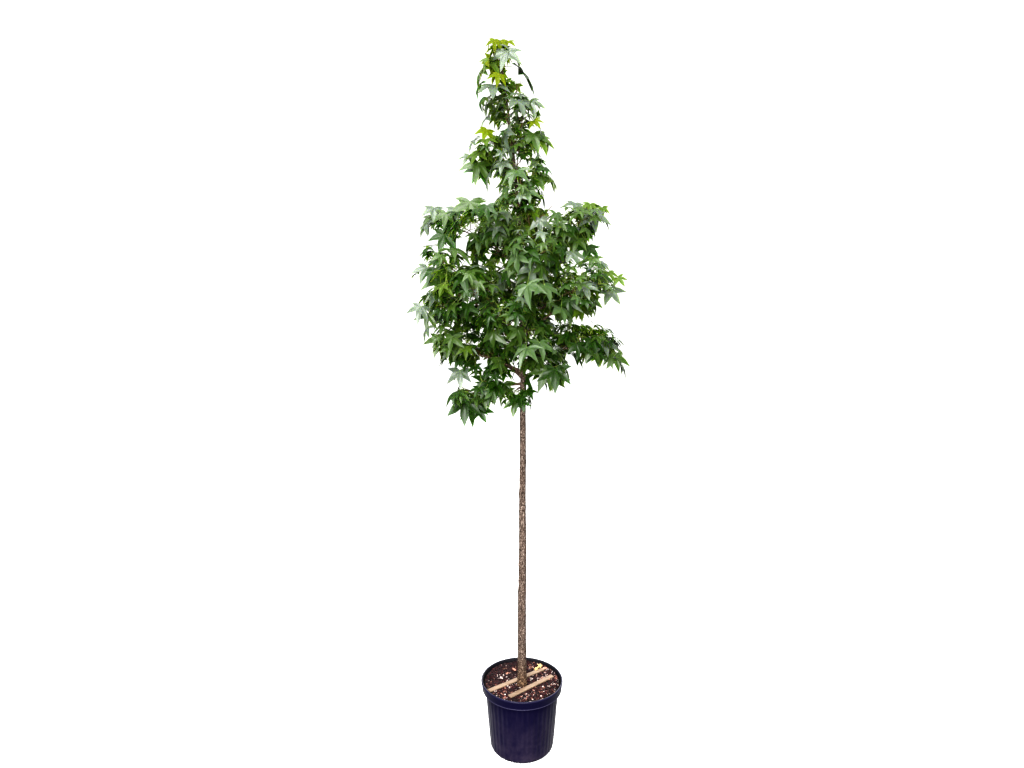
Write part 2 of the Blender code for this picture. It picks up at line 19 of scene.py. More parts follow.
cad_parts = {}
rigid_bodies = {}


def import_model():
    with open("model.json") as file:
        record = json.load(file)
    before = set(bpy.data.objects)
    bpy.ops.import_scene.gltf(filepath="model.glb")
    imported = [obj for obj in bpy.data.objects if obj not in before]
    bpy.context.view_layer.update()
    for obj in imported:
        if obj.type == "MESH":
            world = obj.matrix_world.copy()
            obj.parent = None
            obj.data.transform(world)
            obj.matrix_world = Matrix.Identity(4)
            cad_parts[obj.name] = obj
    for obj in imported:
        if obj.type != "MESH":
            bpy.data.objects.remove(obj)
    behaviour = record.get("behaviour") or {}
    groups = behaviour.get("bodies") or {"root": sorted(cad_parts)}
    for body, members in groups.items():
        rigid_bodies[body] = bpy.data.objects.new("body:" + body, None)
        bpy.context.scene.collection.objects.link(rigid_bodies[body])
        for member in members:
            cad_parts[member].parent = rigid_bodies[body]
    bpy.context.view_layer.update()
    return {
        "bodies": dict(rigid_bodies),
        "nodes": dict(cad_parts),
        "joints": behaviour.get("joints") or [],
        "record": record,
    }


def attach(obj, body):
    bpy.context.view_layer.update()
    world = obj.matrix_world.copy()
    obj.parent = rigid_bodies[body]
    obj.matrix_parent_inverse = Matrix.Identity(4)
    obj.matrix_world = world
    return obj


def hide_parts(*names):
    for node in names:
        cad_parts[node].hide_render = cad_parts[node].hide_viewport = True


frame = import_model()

UP = Vector((0, 0, 1))
MM = 0.001

# ---- colours, nodes and meshes ----


def linear(hexes):
    """An sRGB hex colour as linear RGBA."""
    parts = [int(hexes[i:i + 2], 16) / 255 for i in (0, 2, 4)]
    return (*(p / 12.92 if p <= 0.04045 else ((p + 0.055) / 1.055) ** 2.4 for p in parts), 1.0)


def add(tree, kind, inputs=None, **settings):
    """One node with its settings, whose inputs are values or the sockets that feed them."""
    node = tree.nodes.new("ShaderNode" + kind)
    for name, value in settings.items():
        setattr(node, name, value)
    for name, value in (inputs or {}).items():
        if isinstance(value, bpy.types.NodeSocket):
            tree.links.new(value, node.inputs[name])
        else:
            node.inputs[name].default_value = value
    return node


def material(name, **sockets):
    """A new material: its tree and its shader, whose own sockets are set from keywords."""
    made = bpy.data.materials.new(name)
    made.use_nodes = True
    shader = made.node_tree.nodes["Principled BSDF"]
    for key, value in sockets.items():
        socket = shader.inputs[key.replace("_", " ")]
        socket.default_value = linear(value) if isinstance(value, str) else value
    return made, made.node_tree, shader


def coordinates(tree):
    return add(tree, "TexCoord").outputs["Object"]


def stretched(tree, vector, scale, turn=0.0):
    """Coordinates turned about Z, in degrees, and scaled along each axis."""
    inputs = {"Vector": vector, "Scale": scale, "Rotation": (0, 0, math.radians(turn))}
    return add(tree, "Mapping", inputs).outputs["Vector"]


def grain(tree, vector, scale, detail, **more):
    """The value of a noise texture. more may give its Roughness or its Distortion."""
    return add(tree, "TexNoise", {"Vector": vector, "Scale": scale, "Detail": detail, **more}).outputs["Fac"]


def mapped(tree, value, start, end=(0.0, 1.0)):
    """A value taken from the span start to the span end, and kept inside it."""
    inputs = {"Value": value, "From Min": start[0], "From Max": start[1], "To Min": end[0], "To Max": end[1]}
    return add(tree, "MapRange", inputs).outputs["Result"]


def maths(tree, operation, *values):
    return add(tree, "Math", dict(enumerate(values)), operation=operation).outputs[0]


def mixed(tree, share, first, second, blend="MIX"):
    """A share of the second colour over the first. A colour is a hex or a socket."""
    first, second = (linear(colour) if isinstance(colour, str) else colour for colour in (first, second))
    node = add(tree, "Mix", {0: share, 6: first, 7: second}, data_type="RGBA", blend_type=blend)
    return node.outputs[2]


def ramp(tree, value, *colours):
    """The colour of a ramp whose stops are (place, hex) pairs."""
    node = add(tree, "ValToRGB", {"Fac": value})
    elements = node.color_ramp.elements
    while len(elements) < len(colours):
        elements.new(0.5)
    for element, (place, colour) in zip(elements, colours):
        element.position = place
        element.color = linear(colour)
    return node.outputs["Color"]


def surface(tree, shader, colour, height=None, strength=0.0, depth=0.0):
    """Gives the shader its colour, and a bump of some depth in metres."""
    tree.links.new(colour, shader.inputs["Base Color"])
    if height is not None:
        bump = add(tree, "Bump", {"Height": height, "Strength": strength, "Distance": depth})
        tree.links.new(bump.outputs["Normal"], shader.inputs["Normal"])


def linked(name, source):
    """An object in the scene, from a mesh or from a bmesh, which is freed."""
    mesh = source
    if isinstance(source, bmesh.types.BMesh):
        mesh = bpy.data.meshes.new(name)
        source.to_mesh(mesh)
        source.free()
    obj = bpy.data.objects.new(name, mesh)
    bpy.context.scene.collection.objects.link(obj)
    return obj


def piece(name, source, *materials, sharp):
    """An object that rides on the frame, smooth but for edges sharper than an angle in degrees."""
    obj = linked(name, source)
    obj.data.shade_smooth()
    obj.data.set_sharp_from_angle(angle=math.radians(sharp))
    obj.data.materials.clear()
    for made in materials:
        obj.data.materials.append(made)
    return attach(obj, "root")


def closed(bm):
    """The bmesh with its doubled points merged and its faces turned outwards."""
    bmesh.ops.remove_doubles(bm, verts=bm.verts, dist=1e-6)
    bmesh.ops.recalc_face_normals(bm, faces=bm.faces)
    return bm


def turned(profile, segments):
    """A surface turned about Z from an outline of (radius, height)."""
    bm = bmesh.new()
    points = [bm.verts.new((radius, 0, height)) for radius, height in profile]
    edges = [bm.edges.new(pair) for pair in zip(points, points[1:])]
    bmesh.ops.spin(
        bm,
        geom=points + edges,
        cent=(0, 0, 0),
        axis=(0, 0, 1),
        angle=math.tau,
        steps=segments,
        use_merge=True,
    )
    return closed(bm)


def arc(centre, radius, start, end, steps):
    """Points of an arc in a profile, in degrees, ends included."""
    turns = [math.radians(start + (end - start) * i / steps) for i in range(steps + 1)]
    return [(centre[0] + radius * math.cos(a), centre[1] + radius * math.sin(a)) for a in turns]


def tubes(runs, resolution):
    """Closed tapering tubes, one along each run of (point, radius), as a bmesh."""
    data = bpy.data.curves.new("tubes", "CURVE")
    data.dimensions = "3D"
    data.bevel_depth = 1.0
    data.bevel_resolution = resolution
    data.use_fill_caps = True
    for run in runs:
        spline = data.splines.new("POLY")
        spline.points.add(len(run) - 1)
        for point, (place, radius) in zip(spline.points, run):
            point.co = (*place, 1.0)
            point.radius = radius
    obj = bpy.data.objects.new("tubes", data)
    mesh = bpy.data.meshes.new_from_object(obj)
    bpy.data.objects.remove(obj)
    bpy.data.curves.remove(data)
    bm = bmesh.new()
    bm.from_mesh(mesh)
    bpy.data.meshes.remove(mesh)
    return closed(bm)


def scattered(shapes, places):
    """One mesh of many small shapes. shapes are (points, faces); places are (shape, matrix)."""
    points, faces, count = [], [], 0
    for k, matrix in places:
        shape, sides = shapes[k]
        turn = np.array(matrix)
        points.append(shape @ turn[:3, :3].T + turn[:3, 3])
        faces += [tuple(corner + count for corner in side) for side in sides]
        count += len(shape)
    mesh = bpy.data.meshes.new("scattered")
    mesh.from_pydata(np.concatenate(points), [], faces)
    return mesh


def shape_of(bm):
    """(points, faces) of a bmesh, which is freed."""
    bm.verts.index_update()
    found = np.array([v.co for v in bm.verts]), [tuple(v.index for v in f.verts) for f in bm.faces]
    bm.free()
    return found


# ---- pot ----

POT_HEIGHT = 0.295
RIM_RADIUS = 0.178
LIP = 0.0042  # radius of the rolled lip
BAND_FOOT = 0.260
BAND_FOOT_RADIUS = 0.1722
BAND_EASE = 0.006
BEAD = 0.0012
BODY_TOP = 0.2555
BODY_TOP_RADIUS = 0.158
BODY_FOOT_RADIUS = 0.138
BODY_ROWS = 14
SHOULDER = 0.004  # radius of the hollow between the body and the band
HEEL_RADIUS = 0.021
RECESS = (0.085, 0.089, 0.0016)  # under the base: its floor's and its edge's radius, and how deep it is
WALL = 0.003
FLUTES = 44
FLUTE_DEPTH = 0.6 * MM
FLUTED = (HEEL_RADIUS * 0.6, BODY_TOP - 0.012)
FLUTE_FADE = 0.02
WARP = 0.5 * MM
POT_SEGMENTS = 264
DRAIN_HOLES = 8
DRAIN_HEIGHT = 0.010
DRAIN_RADIUS = 0.0085
DRAIN_STRETCH = 1.25
DRILL = 0.030
DUST_TOP = 0.25
MIX_TOP = 0.284


def pot_mesh():
    """Blow-moulded pot: rolled lip, plain band with a bead at its foot, fluted body, rounded heel."""
    taper, rise = BODY_TOP_RADIUS - BODY_FOOT_RADIUS, BODY_TOP - SHOULDER - HEEL_RADIUS
    heel = (BODY_FOOT_RADIUS - HEEL_RADIUS, HEEL_RADIUS)
    lip = (RIM_RADIUS - LIP, POT_HEIGHT - LIP)
    floor, edge, recess = RECESS
    outside = [(0, recess), (floor, recess), (edge, 0)] + arc(heel, HEEL_RADIUS, -90, 0, 8)
    outside += [
        (BODY_FOOT_RADIUS + taper * i / BODY_ROWS, HEEL_RADIUS + rise * i / BODY_ROWS)
        for i in range(1, BODY_ROWS + 1)
    ]
    outside += arc((BODY_TOP_RADIUS + SHOULDER, BODY_TOP - SHOULDER), SHOULDER, 180, 95, 4)
    outside += arc((BAND_FOOT_RADIUS, BAND_FOOT - BEAD / 3), BEAD, -80, 60, 5)
    outside += [(BAND_FOOT_RADIUS + BEAD, BAND_FOOT + BAND_EASE), (RIM_RADIUS - BEAD, lip[1] - BAND_EASE)]
    outside += arc(lip, LIP, -20, 180, 10)
    inside = [
        (RIM_RADIUS - 2 * LIP - 0.8 * MM, lip[1] - SHOULDER),
        (BAND_FOOT_RADIUS - WALL - MM, BAND_FOOT + WALL),
        (BODY_TOP_RADIUS - WALL, BODY_TOP - WALL),
        (BODY_FOOT_RADIUS - WALL, HEEL_RADIUS),
    ]
    inside += arc(heel, HEEL_RADIUS - WALL, 0, -90, 4)[1:]
    bm = turned(outside + inside + [(0, WALL + recess)], POT_SEGMENTS)
    low, high = FLUTED
    for v in bm.verts:
        radius = math.hypot(v.co.x, v.co.y)
        wall = BODY_FOOT_RADIUS + taper * (v.co.z - low) / (high - low)
        if low < v.co.z < high and radius >= wall - WALL * 0.6:
            fade = min(1, (v.co.z - low) / FLUTE_FADE, (high - v.co.z) / FLUTE_FADE)
            wave = math.cos(FLUTES * math.atan2(v.co.y, v.co.x)) * FLUTE_DEPTH
            v.co.xy *= 1 + (wave + noise.noise(v.co * 22) * WARP) * fade / radius
    return bm


def cut(bm, cutter):
    """The bmesh less the cutter's shape, as a mesh. Both are used up."""
    solid, tool = linked("solid", bm), linked("cutter", cutter)
    modifier = solid.modifiers.new("cut", "BOOLEAN")
    modifier.operation = "DIFFERENCE"
    modifier.object = tool
    bpy.context.view_layer.update()
    found = solid.evaluated_get(bpy.context.evaluated_depsgraph_get())
    mesh = bpy.data.meshes.new_from_object(found)
    for obj in (solid, tool):
        bpy.data.objects.remove(obj)
    return mesh


def drain_drills():
    """Oval drills for the drainage holes round the heel."""
    bm = bmesh.new()
    place = Matrix.Translation((BODY_FOOT_RADIUS - WALL, 0, DRAIN_HEIGHT))
    oval = Matrix.Rotation(math.pi / 2, 4, "Y") @ Matrix.Diagonal((1, DRAIN_STRETCH, 1, 1))
    for i in range(DRAIN_HOLES):
        bmesh.ops.create_cone(
            bm,
            cap_ends=True,
            segments=20,
            radius1=DRAIN_RADIUS,
            radius2=DRAIN_RADIUS,
            depth=DRILL,
            matrix=Matrix.Rotation(math.tau * (i + 0.5) / DRAIN_HOLES, 4, "Z") @ place @ oval,
        )
    return bm


def polypropylene():
    """Blow-moulded polypropylene, coloured through: satin, a little waxy, scuffed, dusty and lighter near the
    foot with painted shade higher up, a painted reflection on the flutes' crests and painted highlights on
    the lip and bead.
    """
    made, tree, shader = material(
        "moulded_polypropylene", IOR=1.49, Specular_IOR_Level=0.20, Sheen_Weight=0.16, Sheen_Roughness=0.4
    )
    coords = coordinates(tree)
    place = add(tree, "SeparateXYZ", {"Vector": coords}).outputs
    # Dust and splash marks that thin out upwards, and painted shade: the wall is painted lighter towards the
    # foot and darker higher up, under the rim
    low = mapped(tree, place["Z"], (DUST_TOP, 0.0), (0.0, 0.6))
    dust_and_shade = mapped(tree, grain(tree, coords, 22, 6, Roughness=0.65), (0.30, 0.70), (0.0, low))
    # Scuffs run down the wall: 3 mm wide and ten times as long
    scuffs = grain(tree, stretched(tree, coords, (300, 300, 26)), 1, 4)
    wall = mixed(tree, mapped(tree, scuffs, (0.55, 0.8), (0.0, 0.3)), "0E0A2C", "26213B")
    # Painted reflection: the flutes' crests are greyed faintly in front and most at the two sides, where
    # glancing reflections would light them
    turn = maths(tree, "ARCTAN2", place["Y"], place["X"])
    crest = maths(tree, "COSINE", maths(tree, "MULTIPLY", turn, float(FLUTES)))
    side_sheen = mapped(tree, maths(tree, "ABSOLUTE", place["X"]), (0.05, 0.14), (0.08, 0.42))
    most = mapped(tree, grain(tree, coords, 14, 2), (0.35, 0.65), (0.0, side_sheen))
    greyed = mapped(tree, crest, (-0.4, 1.0), (0.0, most))
    fluted = mapped(tree, place["Z"], (BODY_TOP, BODY_TOP - FLUTE_FADE))
    sheened_wall = mixed(tree, maths(tree, "MULTIPLY", greyed, fluted), wall, "4C485A")
    # Painted highlights: the lip and the bead are painted paler than the wall, where their edges catch the
    # light
    bead_low, bead_high = (BAND_FOOT - BEAD * 4 / 3) / POT_HEIGHT, (BAND_FOOT + BEAD) / POT_HEIGHT
    lip_foot = (POT_HEIGHT - 1.6 * LIP) / POT_HEIGHT
    painted_highlights = ramp(
        tree,
        mapped(tree, place["Z"], (0.0, POT_HEIGHT)),
        (bead_low - 0.003, "000000"),
        (bead_low, "B0B0B0"),
        (bead_high, "B0B0B0"),
        (bead_high + 0.003, "000000"),
        (lip_foot, "000000"),
        (lip_foot + 0.012, "484848"),
    )
    colour = mixed(tree, painted_highlights, mixed(tree, dust_and_shade, sheened_wall, "4C4250"), "605C74")
    surface(tree, shader, colour, scuffs, 0.15, 0.3 * MM)
    tree.links.new(mapped(tree, scuffs, (0.3, 0.8), (0.34, 0.55)), shader.inputs["Roughness"])
    return made


# Painted shade: the inside of the wall is coloured near black, as the shade inside the pot
inner_shade = material("inner_wall_painted_shade", Base_Color="0B0914", Roughness=0.7, IOR=1.49)[0]
pot = piece("pot_moulded", cut(pot_mesh(), drain_drills()), polypropylene(), inner_shade, sharp=35)
# The wall's inner faces below the lip take the painted shade
for side in pot.data.polygons:
    out = side.center.xy.length
    if side.normal.xy.dot(side.center.xy) < -0.3 * out and out < RIM_RADIUS - 1.6 * LIP:
        side.material_index = 1
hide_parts("pot")

# ---- potting mix ----

MIX_RADIUS = 0.1615
MIX_ROWS = 44
MIX_SEGMENTS = 160
MIX_SLACK = 0.4 * MM
MIX_FOOT = 0.0052
CHIP_REACH = 0.985  # share of the mix's radius
# Shares of a chip's size, but for its tilts in radians
CHIP_LIFT = (0.2, 1.0)
CHIP_CLEAR = 0.25
CHIP_JITTER = 0.16
CHIP_BEVEL = 0.07
CHIP_SHAPES = 5
CHIP_TILT = (0.34, 0.26)
Lath = namedtuple("Lath", "name middle length turn")
LATH_WIDTH = 0.021
LATH_THICKNESS = 0.0055
LATH_ROWS = 34
LATH_CORNER = 0.0012
LATH_UNEVEN = 0.5 * MM
LATH_END = 0.97  # share of its half length past which a lath's end is ragged
LATH_RAGGED = 1.6 * MM
LATH_TURN = -37.5  # turns coordinates so that X runs along the laths
LATHS = (
    Lath("lath_back", (-0.0230, 0.0030), 0.292, 35.5),
    Lath("lath_front", (0.0410, -0.0440), 0.246, 39.5),
)
FOOT = Vector((0.0, -0.028, MIX_TOP))
FOOT_RADIUS = 0.022


def mix_height(x, y):
    """How far the mix stands above its level here."""
    broad = noise.noise(Vector((x * 28, y * 28, 3.1))) * 2.6
    fine = noise.noise(Vector((x * 110, y * 110, 7.7))) * 1.4
    return (broad + fine - 1.8) * MM


def mix_mesh():
    """The body of potting mix, uneven on top."""
    neck = BODY_TOP_RADIUS - WALL - MIX_SLACK
    foot = BODY_FOOT_RADIUS - WALL - MIX_SLACK
    profile = [(0, MIX_FOOT), (foot - 0.02, MIX_FOOT), (foot, 0.024), (neck - 0.0022, FLUTED[1])]
    profile += [(neck - MM, BODY_TOP - MM), (MIX_RADIUS + 3 * MM, MIX_TOP - 8 * MM)]
    profile += [(MIX_RADIUS * (1 - i / MIX_ROWS), MIX_TOP) for i in range(MIX_ROWS + 1)]
    bm = turned(profile, MIX_SEGMENTS)
    for v in bm.verts:
        if v.co.z > MIX_TOP - 1e-4:
            v.co.z += mix_height(v.co.x, v.co.y)
    return bm


def under_lath(x, y, slack):
    """True where a lath lies."""
    for lath in LATHS:
        turn = math.radians(lath.turn)
        dx, dy = x - lath.middle[0], y - lath.middle[1]
        along, across = dx * math.cos(turn) + dy * math.sin(turn), dy * math.cos(turn) - dx * math.sin(turn)
        if abs(along) < lath.length / 2 + slack and abs(across) < LATH_WIDTH / 2 + slack:
            return True
    return False


def edges_along_x(bm):
    """The edges of a cube of unit size that run along X."""
    return [e for e in bm.edges if abs(e.verts[0].co.x - e.verts[1].co.x) > 0.5]


def worn_corners(bm, edges, width, segments):
    bmesh.ops.bevel(
        bm, geom=edges, offset=width, segments=segments, profile=0.5, affect="EDGES", material=-1
    )


def chip_shapes(rng, slab):
    """A few bark chips of unit size: split slabs, or rounded crumbs."""
    shapes = []
    for _ in range(CHIP_SHAPES):
        bm = bmesh.new()
        if slab:
            bmesh.ops.create_cube(bm, size=1.0)
            bmesh.ops.subdivide_edges(bm, edges=edges_along_x(bm), cuts=1)
        else:
            bmesh.ops.create_icosphere(bm, subdivisions=1, radius=0.55)
        for v in bm.verts:
            v.co += Vector(rng.uniform(-CHIP_JITTER, CHIP_JITTER) for _ in range(3))
        if slab:
            worn_corners(bm, bm.edges[:], CHIP_BEVEL, 1)
        bmesh.ops.recalc_face_normals(bm, faces=bm.faces)
        shapes.append(shape_of(bm))
    return shapes


def chips(kind, rng):
    """Chips of a kind, lying on the mix."""
    shapes = chip_shapes(rng, kind.slab)
    places = []
    while len(places) < kind.count:
        radius, turn = MIX_RADIUS * math.sqrt(rng.random()) * CHIP_REACH, rng.uniform(0, math.tau)
        x, y = radius * math.cos(turn), radius * math.sin(turn)
        size = rng.uniform(*kind.length)
        clear = FOOT_RADIUS + size * CHIP_CLEAR
        if (Vector((x, y, MIX_TOP)) - FOOT).length < clear or rng.random() > kind.where(x, y):
            continue
        width, thickness = rng.uniform(*kind.width), rng.uniform(*kind.thickness)
        scale = Matrix.Diagonal((size, size * width, size * thickness, 1))
        roll, pitch = (rng.gauss(0, spread) for spread in CHIP_TILT)
        tilt = Matrix.Rotation(roll, 4, "X") @ Matrix.Rotation(pitch, 4, "Y")
        lift = mix_height(x, y) + rng.uniform(*CHIP_LIFT) * scale[2][2]
        if under_lath(x, y, size / 2):
            lift = min(lift, -0.5 * size - 0.6 * MM)
        place = Matrix.Translation((x, y, MIX_TOP + lift))
        shape = rng.randrange(len(shapes))
        places.append((shape, place @ Matrix.Rotation(rng.uniform(0, math.tau), 4, "Z") @ tilt @ scale))
    made = bark_mix(kind.bark, kind.dark, kind.light, kind.crumb)
    made_piece = piece(kind.name, scattered(shapes, places), made, sharp=30)


def bark_mix(name, dark, light, crumb=160):
    """Composted bark, damp: dull, fibrous, uneven in colour from crumb to crumb."""
    made, tree, shader = material(name, Roughness=0.88, IOR=1.45)
    crumbs = grain(tree, coordinates(tree), crumb, 5, Roughness=0.7)
    surface(tree, shader, ramp(tree, crumbs, (0.35, dark), (0.68, light)), crumbs, 0.6, 0.8 * MM)
    return made


mix = piece("potting_mix_body", mix_mesh(), bark_mix("composted_bark", "060203", "260E12"), sharp=60)
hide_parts("potting_mix")


def everywhere(x, y):
    return 1.0


FEWEST = 0.12
WASHED = (-0.085, 0.035, 0.035)  # x, y and radius


def sunny_side(x, y):
    """Pale crumbs lie in clumps, thickest towards the front and the right."""
    clump = 1.0 if noise.noise(Vector((x * 62, y * 62, 5.5))) > 0.02 else FEWEST
    return clump * min(1.0, max(FEWEST, 0.55 + 3.2 * x - 3.4 * y))


def washed_patch(x, y):
    """Perlite washes into a patch as well."""
    middle_x, middle_y, radius = WASHED
    patch = max(0.0, 1 - math.hypot(x - middle_x, y - middle_y) / radius)
    return min(1.0, 0.55 * sunny_side(x, y) + patch)


# where is the share of chips that are kept at a place, and crumb is how fine the colours are
Chips = namedtuple("Chips", "name bark dark light crumb count slab length width thickness where")
SLAB, FLAT = (0.35, 0.8), (0.2, 0.4)
KINDS_OF_CHIPS = (
    Chips(
        "chips_dark_bark", "chip_dark_bark", "080303", "301216", 160,
        1500, True, (0.005, 0.013), SLAB, FLAT, everywhere,
    ),
    Chips(
        "chips_red_bark", "chip_red_bark", "260A0E", "4E1C1E", 160,
        850, True, (0.004, 0.012), SLAB, FLAT, everywhere,
    ),
    Chips(
        "chips_tan_bark", "chip_tan_bark", "6A3A30", "B88A7A", 160,
        350, True, (0.004, 0.010), (0.3, 0.7), FLAT, sunny_side,
    ),
    Chips(
        "crumbs_perlite", "expanded_perlite", "BCA298", "FAEEE8", 400,
        560, False, (0.0025, 0.0065), (0.5, 1.0), (0.3, 0.7), washed_patch,
    ),
)
chip_rng = random.Random(11)
for chip_kind in KINDS_OF_CHIPS:
    chips(chip_kind, chip_rng)

Litter = namedtuple("Litter", "x y length width turn tilt lift")
# Curled scraps of pale bark, and rootlets as (start, bend, end) in plan
SCRAPS = (
    Litter(0.103, 0.089, 0.027, 0.011, 38, 14, 0.0050),
    Litter(-0.034, 0.083, 0.024, 0.009, -52, 20, 0.0040),
    Litter(0.043, 0.104, 0.020, 0.013, 10, -12, 0.0035),
    Litter(0.120, 0.012, 0.020, 0.008, 70, 10, 0.0030),
    Litter(-0.062, 0.052, 0.018, 0.008, 15, 12, 0.0030),
)
ROOTLETS = (
    ((0.096, -0.010), (0.112, 0.006), (0.140, 0.004)),
    ((0.060, -0.098), (0.066, -0.112), (0.064, -0.128)),
    ((-0.088, 0.088), (-0.072, 0.096), (-0.058, 0.090)),
    ((-0.028, 0.100), (-0.024, 0.116), (-0.030, 0.132)),
    ((0.010, -0.108), (0.026, -0.112), (0.040, -0.104)),
)


# Shares of a scrap's length
SCRAP_THICKNESS = 0.07
SCRAP_POINTED = 0.5
SCRAP_CURL = 0.30
ROOTLET_RADIUS = 0.7 * MM
ROOTLET_ARCH = 0.0042


def lying(turn, tilt):
    """Turned about Z and tilted to one side, in degrees."""
    return Matrix.Rotation(math.radians(turn), 4, "Z") @ Matrix.Rotation(math.radians(tilt), 4, "X")


def scrap_mesh():
    """Thin curled flakes of bark, bent along their length."""
    bm = bmesh.new()
    for scrap in SCRAPS:
        flat = bmesh.ops.create_grid(bm, x_segments=8, y_segments=3, size=0.5)["verts"]
        faces = list(dict.fromkeys(f for v in flat for f in v.link_faces))
        solid = bmesh.ops.solidify(bm, geom=faces, thickness=SCRAP_THICKNESS)["geom"]
        made = list(dict.fromkeys(flat + [v for v in solid if isinstance(v, bmesh.types.BMVert)]))
        for v in made:
            ragged = 0.25 * noise.noise(v.co * 5 + UP * scrap.turn)
            v.co.y *= 1 - SCRAP_POINTED * abs(v.co.x) ** 1.5 + ragged
            v.co.z += SCRAP_CURL * (0.25 - v.co.x ** 2) + 0.10 * noise.noise(v.co * 3 + UP * scrap.turn)
        place = Matrix.Translation((scrap.x, scrap.y, MIX_TOP + scrap.lift))
        size = Matrix.Diagonal((scrap.length, scrap.width, scrap.length * 0.6, 1))
        bmesh.ops.transform(bm, matrix=place @ lying(scrap.turn, scrap.tilt) @ size, verts=made)
    bmesh.ops.recalc_face_normals(bm, faces=bm.faces)
    return bm


def rootlet_runs():
    """Fine dry roots that lie on the mix and dip into it at both ends."""
    runs = []
    for start, bend, end in ROOTLETS:
        run = []
        for share in (0, 0.2, 0.4, 0.6, 0.8, 1):
            first, last, middle = (1 - share) ** 2, share ** 2, 2 * share * (1 - share)
            x, y = (first * a + middle * b + last * c for a, b, c in zip(start, bend, end))
            lift = ROOTLET_ARCH * math.sin(math.pi * share) + mix_height(x, y) + MM
            run.append(((x, y, MIX_TOP + lift), ROOTLET_RADIUS * (1.2 - share)))
        runs.append(run)
    return runs


pale_bark = bark_mix("scrap_pale_bark", "9A6456", "D8AC94", 90)
scraps = piece("scraps_pale_bark", scrap_mesh(), pale_bark, sharp=60)
dry_root = bark_mix("dry_rootlet", "7A5840", "B8967A", 200)
rootlets = piece("rootlets", tubes(rootlet_runs(), 1), dry_root, sharp=70)

# ---- laths ----


def sawn_pine():
    """Rough-sawn pine: pale straw, its growth rings drawn out along it, greyed where it has weathered."""
    made, tree, shader = material("sawn_pine", Roughness=0.72, IOR=1.5)
    coords = coordinates(tree)
    rings = grain(tree, stretched(tree, coords, (14, 420, 300), LATH_TURN), 1, 4, Distortion=0.4)
    worn = mapped(tree, grain(tree, coords, 60, 3), (0.5, 0.8), (0.0, 0.5))
    fresh = ramp(tree, rings, (0.30, "665040"), (0.50, "8C7662"), (0.72, "AA9681"))
    surface(tree, shader, mixed(tree, worn, fresh, "806959"), rings, 0.5, 0.5 * MM)
    return made


def lath_mesh(lath):
    """A sawn lath with worn corners and slightly uneven sides."""
    bm = bmesh.new()
    bmesh.ops.create_cube(bm, size=1.0)
    bmesh.ops.subdivide_edges(bm, edges=edges_along_x(bm), cuts=LATH_ROWS)
    bmesh.ops.scale(bm, vec=(lath.length, LATH_WIDTH, LATH_THICKNESS), verts=bm.verts)
    worn_corners(bm, [e for e in bm.edges if e.calc_face_angle(0) > 1], LATH_CORNER, 2)
    for v in bm.verts:
        sawn = v.co * 60 + Vector(lath.middle + (0,)) * 40
        end = max(0, abs(v.co.x) / (lath.length / 2) - LATH_END) / (1 - LATH_END)
        v.co += Vector((
            noise.noise(v.co * 420) * LATH_RAGGED * end,
            noise.noise(sawn) * LATH_UNEVEN,
            noise.noise(sawn + UP * 50) * LATH_UNEVEN * 0.5,
        ))
    place = Matrix.Translation((*lath.middle, MIX_TOP + LATH_THICKNESS / 2))
    bm.transform(place @ Matrix.Rotation(math.radians(lath.turn), 4, "Z"))
    return bm


pine = sawn_pine()
for lath in LATHS:
    wood = piece(lath.name + "_sawn", lath_mesh(lath), pine, sharp=50)
    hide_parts(lath.name)

# ---- trunk and boughs ----

Ring = namedtuple("Ring", "x y z radius")
TRUNK = (
    Ring(0.000, -0.028, MIX_TOP - 0.010, 0.0226),
    Ring(0.000, -0.028, MIX_TOP + 0.018, 0.0203),
    Ring(0.000, -0.028, 0.400, 0.0188),
    Ring(-0.001, -0.028, 0.620, 0.0178),
    Ring(0.002, -0.027, 0.850, 0.0166),
    Ring(0.001, -0.026, 1.080, 0.0148),
    Ring(0.003, -0.026, 1.300, 0.0132),
    Ring(0.002, -0.025, 1.520, 0.0120),
    Ring(0.004, -0.024, 1.720, 0.0108),
    Ring(0.000, -0.022, 1.920, 0.0096),
    Ring(-0.005, -0.020, 2.120, 0.0084),
    Ring(-0.018, -0.018, 2.320, 0.0072),
    Ring(-0.034, -0.016, 2.500, 0.0060),
    Ring(-0.056, -0.016, 2.680, 0.0048),
    Ring(-0.078, -0.018, 2.840, 0.0038),
    Ring(-0.092, -0.020, 2.925, 0.0028),
)
# Old bud scars and pruned twigs: height, azimuth in degrees, how far they swell, how tall they are
SCARS = (
    (0.590, 250, 0.0010, 0.006),
    (0.695, 190, 0.0018, 0.012),
    (0.813, 200, 0.0026, 0.014),
    (0.951, 300, 0.0014, 0.008),
    (1.113, 180, 0.0020, 0.012),
    (1.060, 340, 0.0014, 0.010),
    (1.250, 30, 0.0018, 0.012),
    (1.370, 215, 0.0020, 0.012),
    (0.480, 110, 0.0016, 0.012),
)
SCAR_SPREAD = 32  # degrees
NODE_RING = 0.590
NODE_RING_SWELL = 0.8 * MM
NODE_RING_TALL = 0.004
FLARE = 0.03  # how tall the trunk's foot is swollen
FLARE_SWELL = 2.0 * MM
# The bark's relief: how far each kind stands out, and how high the noise is that a wart takes
PLATES, WARTS, SWELL = 0.6, 3.4, 0.7
WART_LEVEL = 0.28
FULL_RELIEF = 0.012  # the trunk's radius from which the relief has its full depth
TRUNK_STEP = 0.004
TRUNK_SMOOTHING = 12  # steps to each side
DAMP = (0.42, 0.30)  # the trunk is damp below the first height, and wholly so below the second

